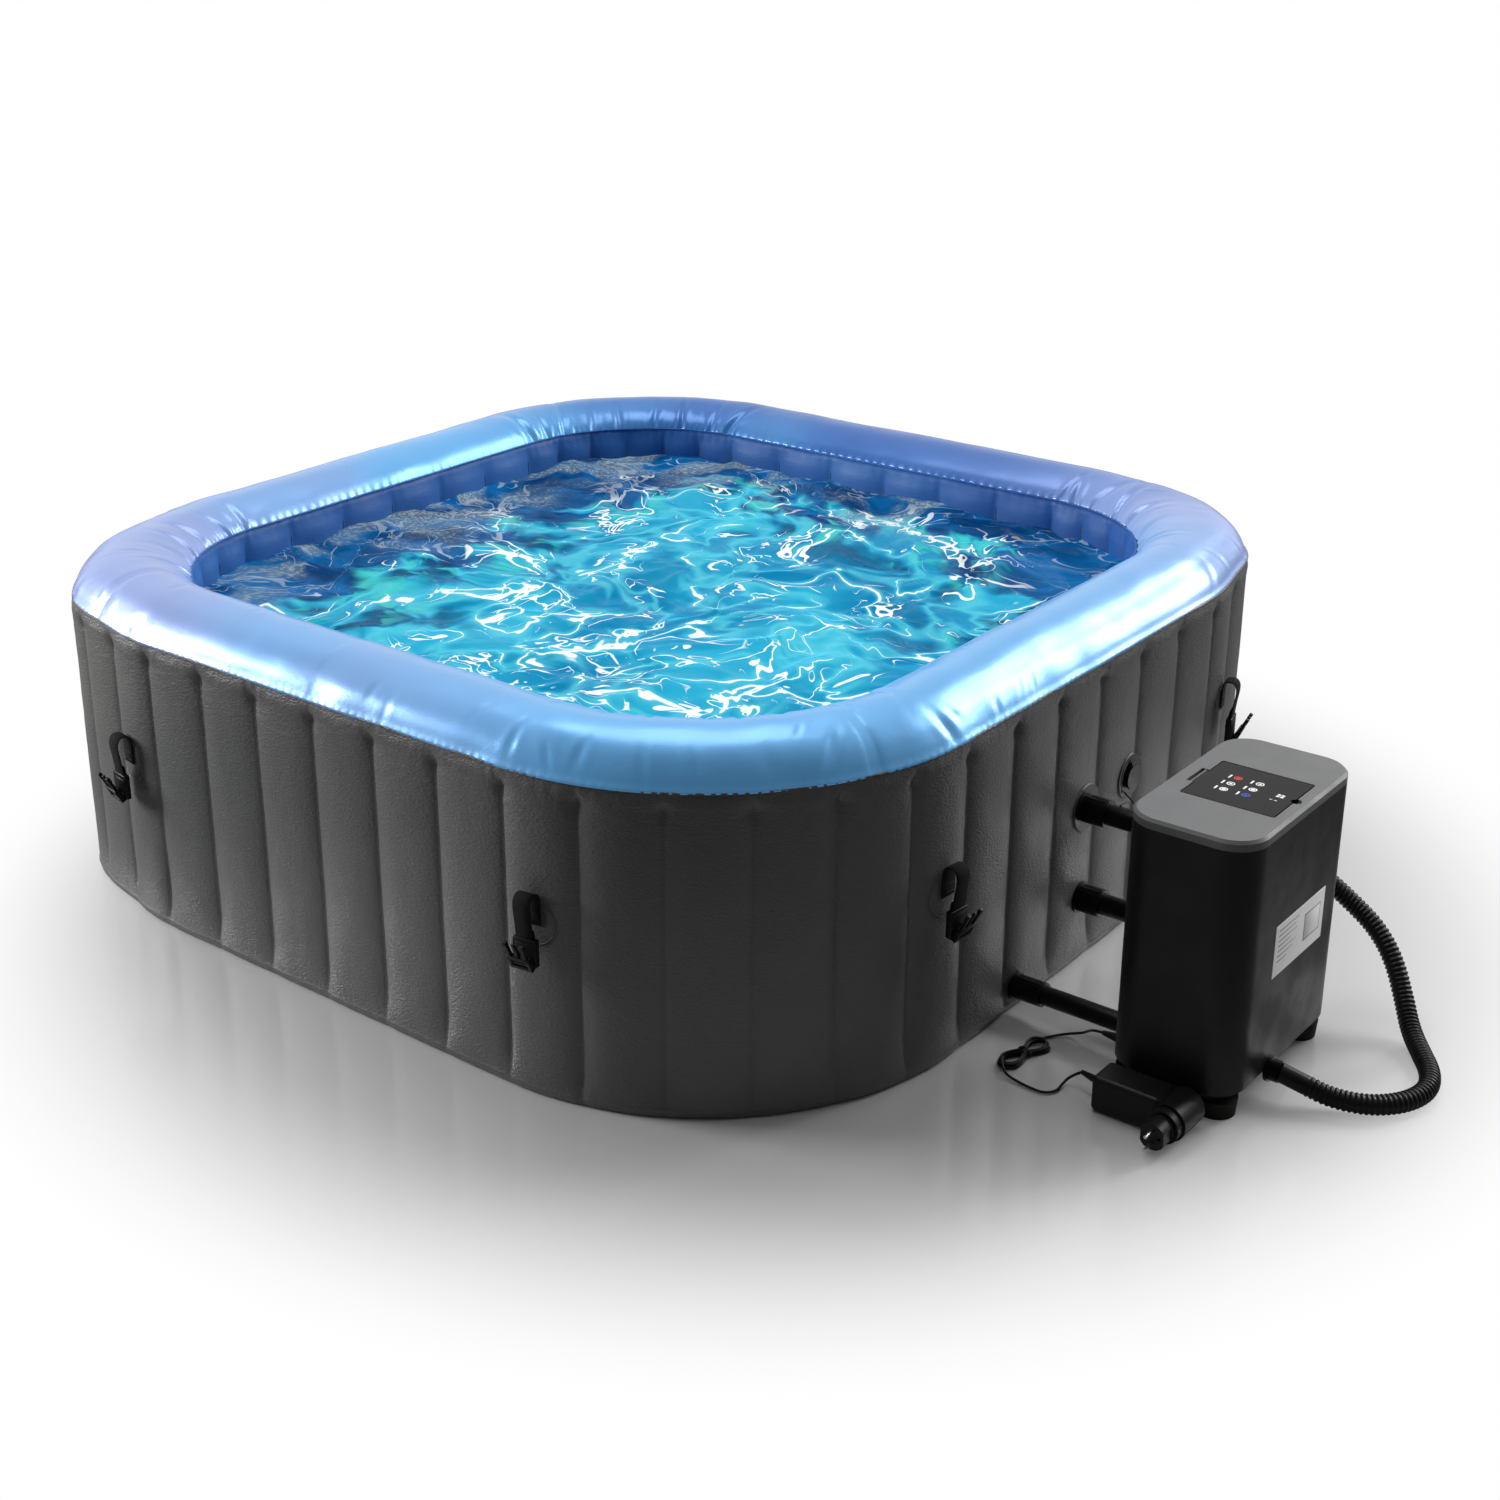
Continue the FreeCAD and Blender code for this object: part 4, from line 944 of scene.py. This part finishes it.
# ---- patches and straps --------------------------------------------------------------------
def wall_spot(distance, z, lift):
    """Point on the outer wall's face, lifted off it."""
    here = distance % ROUND
    index = max(range(len(GROOVES)), key=lambda k: (((GROOVES[k] % ROUND) <= here), GROOVES[k] % ROUND))
    begin = GROOVES[index] % ROUND
    following = GROOVES[(index + 1) % len(GROOVES)] % ROUND
    width = (following - begin) % ROUND
    t = ((here - begin) % ROUND) / width
    point = perimeter(distance, outer_inset(distance, t, index, z) - lift)[0]
    return Vector((point.x, point.y, z))


def patch(name, distance, z, radius, profile, finish):
    """Round patch that follows the wall; profile gives (share of the radius, lift)."""
    segments = 56
    verts = []
    for share, lift in profile:
        reach = radius * share
        verts += [wall_spot(distance + reach * math.cos(angle), z + reach * math.sin(angle), lift)
                  for angle in ring_angles(segments)]
    faces = grid(segments, len(profile), True) + end_caps(segments, len(profile))[1:]
    return build(name, verts, faces, finish)


PLAIN_PATCH = ((1.0, -0.002), (1.0, 0.0006), (0.985, 0.0011), (0.965, 0.0011), (0.95, 0.0004), (0.93, 0.0007),
               (0.80, 0.0010), (0.5, 0.0012), (0.2, 0.0012), (0.04, 0.0012))
RING_PATCH = ((1.0, -0.003), (1.0, 0.0010), (0.97, 0.0024), (0.92, 0.0024), (0.89, 0.0008), (0.82, 0.0008),
              (0.79, 0.0028), (0.73, 0.0028), (0.70, 0.0012), (0.5, 0.0014), (0.2, 0.0014), (0.04, 0.0014))


def ribbon(name, path, width, thickness, place, finish):
    """Flat tape along a path in the local XZ plane, its width along local Y."""
    verts, uvs = [], []
    run = 0.0
    for i, (x, z) in enumerate(path):
        before = Vector(path[max(i - 1, 0)])
        after = Vector(path[min(i + 1, len(path) - 1)])
        along = (after - before).normalized()
        face = Vector((-along.y, along.x))
        run += (Vector(path[i]) - before).length if i else 0.0
        half, thick = width / 2, thickness / 2
        for y, lift in ((-half, 0), (-half * 0.96, thick), (0, thick * 1.15), (half * 0.96, thick), (half, 0),
                        (half * 0.96, -thick), (0, -thick * 1.15), (-half * 0.96, -thick)):
            verts.append(place @ Vector((x + face.x * lift, y, z + face.y * lift)))
            uvs.append((y, run))
    ring = 8
    made = build(name, verts, grid(ring, len(path), True) + end_caps(ring, len(path)), finish)
    layer = made.data.uv_layers.new(name="tape")
    for loop in made.data.loops:
        layer.data[loop.index].uv = uvs[loop.vertex_index]
    return made


def spline_path(points, per_span=6):
    """Smooth run through a few (x, z) points."""
    out = []
    for i in range(len(points) - 1):
        p0, p1, p2, p3 = (Vector(points[max(0, min(len(points) - 1, i + k))]) for k in (-1, 0, 1, 2))
        for j in range(per_span):
            t = j / per_span
            spot = 0.5 * ((2 * p1) + (p2 - p0) * t + (2 * p0 - 5 * p1 + 4 * p2 - p3) * t * t
                          + (3 * p1 - p0 - 3 * p2 + p3) * t ** 3)
            out.append((spot.x, spot.y))
    out.append(tuple(points[-1]))
    return out


def bars(boxes, bevel, place, finish=None):
    """Rounded boxes given by (low, high) corners, moved into place."""
    parts = [block(low, high, finish or PLUG, bevel) for low, high in boxes]
    for part in parts:
        part.data.transform(place)
    return parts


def buckle(place):
    """Side-release buckle, open: socket frame below the tape, prongs swung out."""
    half, rail = 0.018, 0.0128
    near, far = 0.0125, 0.0218          # the socket's back and front
    socket = [
        ((near, -half, -0.062), (far, half, -0.053)), ((near, -half, -0.092), (far, half, -0.081)),
        ((near, -half, -0.084), (far, -rail, -0.058)), ((near, rail, -0.084), (far, half, -0.058)),
        ((0.0145, -0.013, -0.0735), (0.0205, 0.013, -0.069)),
        ((0.0180, -0.014, -0.091), (0.0222, 0.014, -0.060)),
    ]
    prongs = [
        ((-0.0038, -0.017, 0.0), (0.004, 0.017, 0.006)), ((-0.0038, -0.017, 0.018), (0.004, 0.017, 0.024)),
        ((-0.0025, -0.013, 0.009), (0.0025, 0.013, 0.014)), ((-0.002, -0.0024, 0.022), (0.002, 0.0024, 0.050)),
    ]
    # each side: rail, prong and barb
    for thin, thick, inner, outer, low, high in ((-0.0038, 0.004, 0.012, 0.017, 0.001, 0.023),
                                                 (-0.0025, 0.0025, 0.0100, 0.0145, 0.022, 0.046),
                                                 (-0.0028, 0.0028, 0.0100, 0.0165, 0.040, 0.050)):
        prongs += [((thin, -outer, low), (thick, -inner, high)), ((thin, inner, low), (thick, outer, high))]
    tilt = Matrix.Rotation(math.radians(27), 4, "Y")
    swing = place @ Matrix.Translation(Vector((0.024, 0, -0.094))) @ tilt
    return bars(socket, 0.0014, place) + bars(prongs, 0.0010, swing)


def make_straps():
    """Eight straps, each moving on its own, with their patches and sewn ends fixed to the wall."""
    wide, thick = 0.0275, 0.0016
    tab = [(0.0012, -0.040), (0.0013, -0.030), (0.0014, -0.015), (0.0018, -0.004), (0.0027, 0.0)]
    hang = spline_path([
        (0.0026, -0.002), (0.0032, 0.003), (0.0070, 0.0066), (0.0135, 0.0078), (0.0200, 0.0058),
        (0.0240, -0.001), (0.0243, -0.012), (0.0218, -0.030), (0.0195, -0.050), (0.0180, -0.060),
        (0.0135, -0.0715), (0.0125, -0.0660), (0.0155, -0.052), (0.0175, -0.040),
    ])
    stitches = [((0.0012, -0.011, z - 0.0005), (0.0026, 0.011, z + 0.0005)) for z in (-0.034, -0.022)]
    fixed = []
    for side, side_name in enumerate(SIDES):
        for offset in STRAP_OFFSETS[side]:
            distance = side * QUARTER + offset
            point, normal = perimeter(distance, -0.0032)
            face = point + normal * 0.001 + UP * FOLD_Z
            place = Matrix.Translation(face) @ Matrix((normal, UP.cross(normal), UP)).transposed().to_4x4()
            fixed.append(patch("patch", distance, PATCH_Z, PATCH_R, PLAIN_PATCH, WALL))
            fixed.append(ribbon("tab", tab, wide, thick, place, WEBBING))
            fixed += bars(stitches, 0.0002, place, CABLE)
            moving = [ribbon("tape", hang, wide, thick, place, WEBBING)] + buckle(place)
            end = "start" if offset < 0 else "end"
            name = f"strap_{side_name}_{end}"
            settle(join(name + "_webbing", moving), name, "webbing", name)
    settle(join("strap_patches_welded", fixed), "tub", "wall_vinyl", "strap_patches")


make_straps()


def make_port_patches():
    """Welded rings round the upper port and the air valve."""
    rings = [patch("ring", QUARTER + y, z, radius, RING_PATCH, WALL)
             for y, z, radius in ((-0.014, 0.252, 0.0365), (0.118, 0.256, 0.0355))]
    settle(join("port_rings", rings), "tub", "wall_vinyl")


make_port_patches()

# ---- pump unit details ---------------------------------------------------------------------
COVER_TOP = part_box("panel_cover")[1].z
PRINT = 0.00018            # height of the printed marks


def disc_ring(verts, faces, x, y, z, inner, outer, segments=28):
    """Adds a flat raised ring."""
    base = len(verts)
    for radius, height in ((outer, 0.0), (outer, PRINT), (inner, PRINT), (inner, 0.0)):
        verts += [(x + radius * math.cos(angle), y + radius * math.sin(angle), z + height)
                  for angle in ring_angles(segments)]
    for row in range(4):
        here, there = base + row * segments, base + (row + 1) % 4 * segments
        for i in range(segments):
            k = (i + 1) % segments
            faces.append((here + i, here + k, there + k, there + i))


def make_cover_symbols():
    """Small printed marks on the cover: a bar and a ringed mark for each key, and a status square."""
    sets = {"white": ([], [], WHITE), "red": ([], [], RED), "blue": ([], [], BLUE)}
    z = COVER_TOP - 0.00006
    boxes = []

    def bar(x, y, wide, high):
        boxes.append(block((x, y, z), (x + wide, y + high, z + PRINT), WHITE, 0.00006, 1))

    for row in range(3):
        for column in range(2):
            x, y = 1.054 + column * 0.031, -0.104 - row * 0.0215
            tint = {(0, 0): "red", (2, 1): "blue"}.get((row, column), "white")
            verts, faces, _ = sets[tint]
            disc_ring(verts, faces, x, y, z, 0.0040, 0.0057)
            disc_ring(verts, faces, x, y, z, 0.0006, 0.0023 if (row + column) % 2 else 0.0030)
            bar(x - 0.0124, y - 0.0052, 0.0026, 0.0104)
    for dx, dy in ((0, 0), (0.0055, 0), (0, -0.0055), (0.0055, -0.0055)):
        bar(1.117 + dx, -0.122 + dy, 0.0042, 0.0042)
    for dx in (0.0, 0.0065):
        bar(1.114 + dx, -0.140, 0.0040, 0.0015)
    parts = [build("marks_" + tint, v, f, finish, False) for tint, (v, f, finish) in sets.items()]
    settle(join("cover_symbols", parts + boxes), "cover", "key_plastic")


def make_label():
    """Blank rating plate on the unit's outer face, with plain rules and a grey block."""
    face, left, top, pitch = 1.162, -0.180, 0.243, 0.0075

    def sheet(low, high, bottom, raised, finish, bevel=0.0001, segments=1):
        """Flat piece on the face: (y, z) corners, and how far it starts and ends proud of it."""
        return block((face + bottom, *low), (face + raised, *high), finish, bevel, segments)

    parts = [sheet((-0.190, 0.178), (-0.038, 0.254), -0.0002, 0.0006, LABEL, 0.0004, 2)]
    for k, length in enumerate((0.060, 0.052, 0.058, 0.040, 0.056, 0.047, 0.030)):
        z = top - k * pitch
        parts.append(sheet((left, z), (left + length, z + 0.0018), 0.0005, 0.0007, INK))
    parts.append(sheet((-0.100, 0.196), (-0.050, 0.236), 0.0005, 0.0007, INK))
    parts.append(sheet((-0.098, 0.198), (-0.052, 0.234), 0.00055, 0.00075, LABEL))
    settle(join("rating_plate", parts), "tub", "label_pale")


make_cover_symbols()
make_label()


# ---- floor, world, lights ------------------------------------------------------------------
def make_floor():
    """Pale floor: satin near the tub, fading to plain white away from it."""
    made = Finish("floor", 0.14)
    made.color((0.66, 0.66, 0.67))
    centred = made.vector("SUBTRACT", made.place, (0.21, -0.02, 0.0))
    away = made.vector("LENGTH", centred, output="Value")
    glow = made.node("ShaderNodeEmission")
    seen = made.node("ShaderNodeLightPath").outputs["Is Camera Ray"]
    made.link(made.add(made.times(seen, 0.85), 0.15), glow.inputs["Strength"])
    made.blend(made.ramp(away, 0.90, 1.34), made.shader, glow, made.tree.nodes["Material Output"])
    segments, radius, level = 96, 14, -0.0005
    verts = [(0.0, 0.0, level)]
    verts += [(radius * math.cos(angle), radius * math.sin(angle), level) for angle in ring_angles(segments)]
    faces = [(0, 1 + i, 1 + (i + 1) % segments) for i in range(segments)]
    build("floor", verts, faces, made)


def make_world():
    """White studio, brighter behind the tub than on its near side."""
    world = bpy.data.worlds.new("studio")
    bpy.context.scene.world = world
    world.use_nodes = True
    world.node_tree.nodes.clear()
    made = Nodes(world.node_tree, "Generated")
    behind = made.vector("DOT_PRODUCT", made.place, (-0.60, 0.74, 0.30), output="Value")
    lit, plain = made.node("ShaderNodeBackground"), made.node("ShaderNodeBackground")
    made.feed(lit, (1, 1, 1, 1), made.ramp(behind, -0.55, 0.95, 0.035, 0.80))
    made.feed(plain, (1, 1, 1, 1), 1.0)
    seen = made.node("ShaderNodeLightPath").outputs["Is Camera Ray"]
    made.blend(seen, lit, plain, made.node("ShaderNodeOutputWorld"))


def area_light(name, place, target, size, power):
    """White panel light aimed at a target."""
    data = bpy.data.lights.new(name, "AREA")
    data.shape = "RECTANGLE"
    data.size, data.size_y = size
    data.energy = power
    made = bpy.data.objects.new(name, data)
    away = Vector(place) - Vector(target)
    made.matrix_world = Matrix.Translation(Vector(place)) @ away.to_track_quat("Z", "Y").to_matrix().to_4x4()
    bpy.context.scene.collection.objects.link(made)


make_floor()
make_world()
area_light("left_window", (-3.1, -2.3, 1.3), (-0.5, -0.7, 0.3), (1.2, 1.4), 120)
area_light("right_window", (2.3, 3.0, 1.6), (0.8, 0.2, 0.35), (0.9, 1.4), 45)
area_light("back_panel", (1.6, 3.4, 2.9), (0.7, 0.0, 0.4), (2.4, 1.0), 60)
area_light("overhead", (-0.4, 0.2, 3.2), (0, 0, 0.4), (2.0, 1.6), 30)
bpy.context.scene.view_settings.view_transform = "Standard"
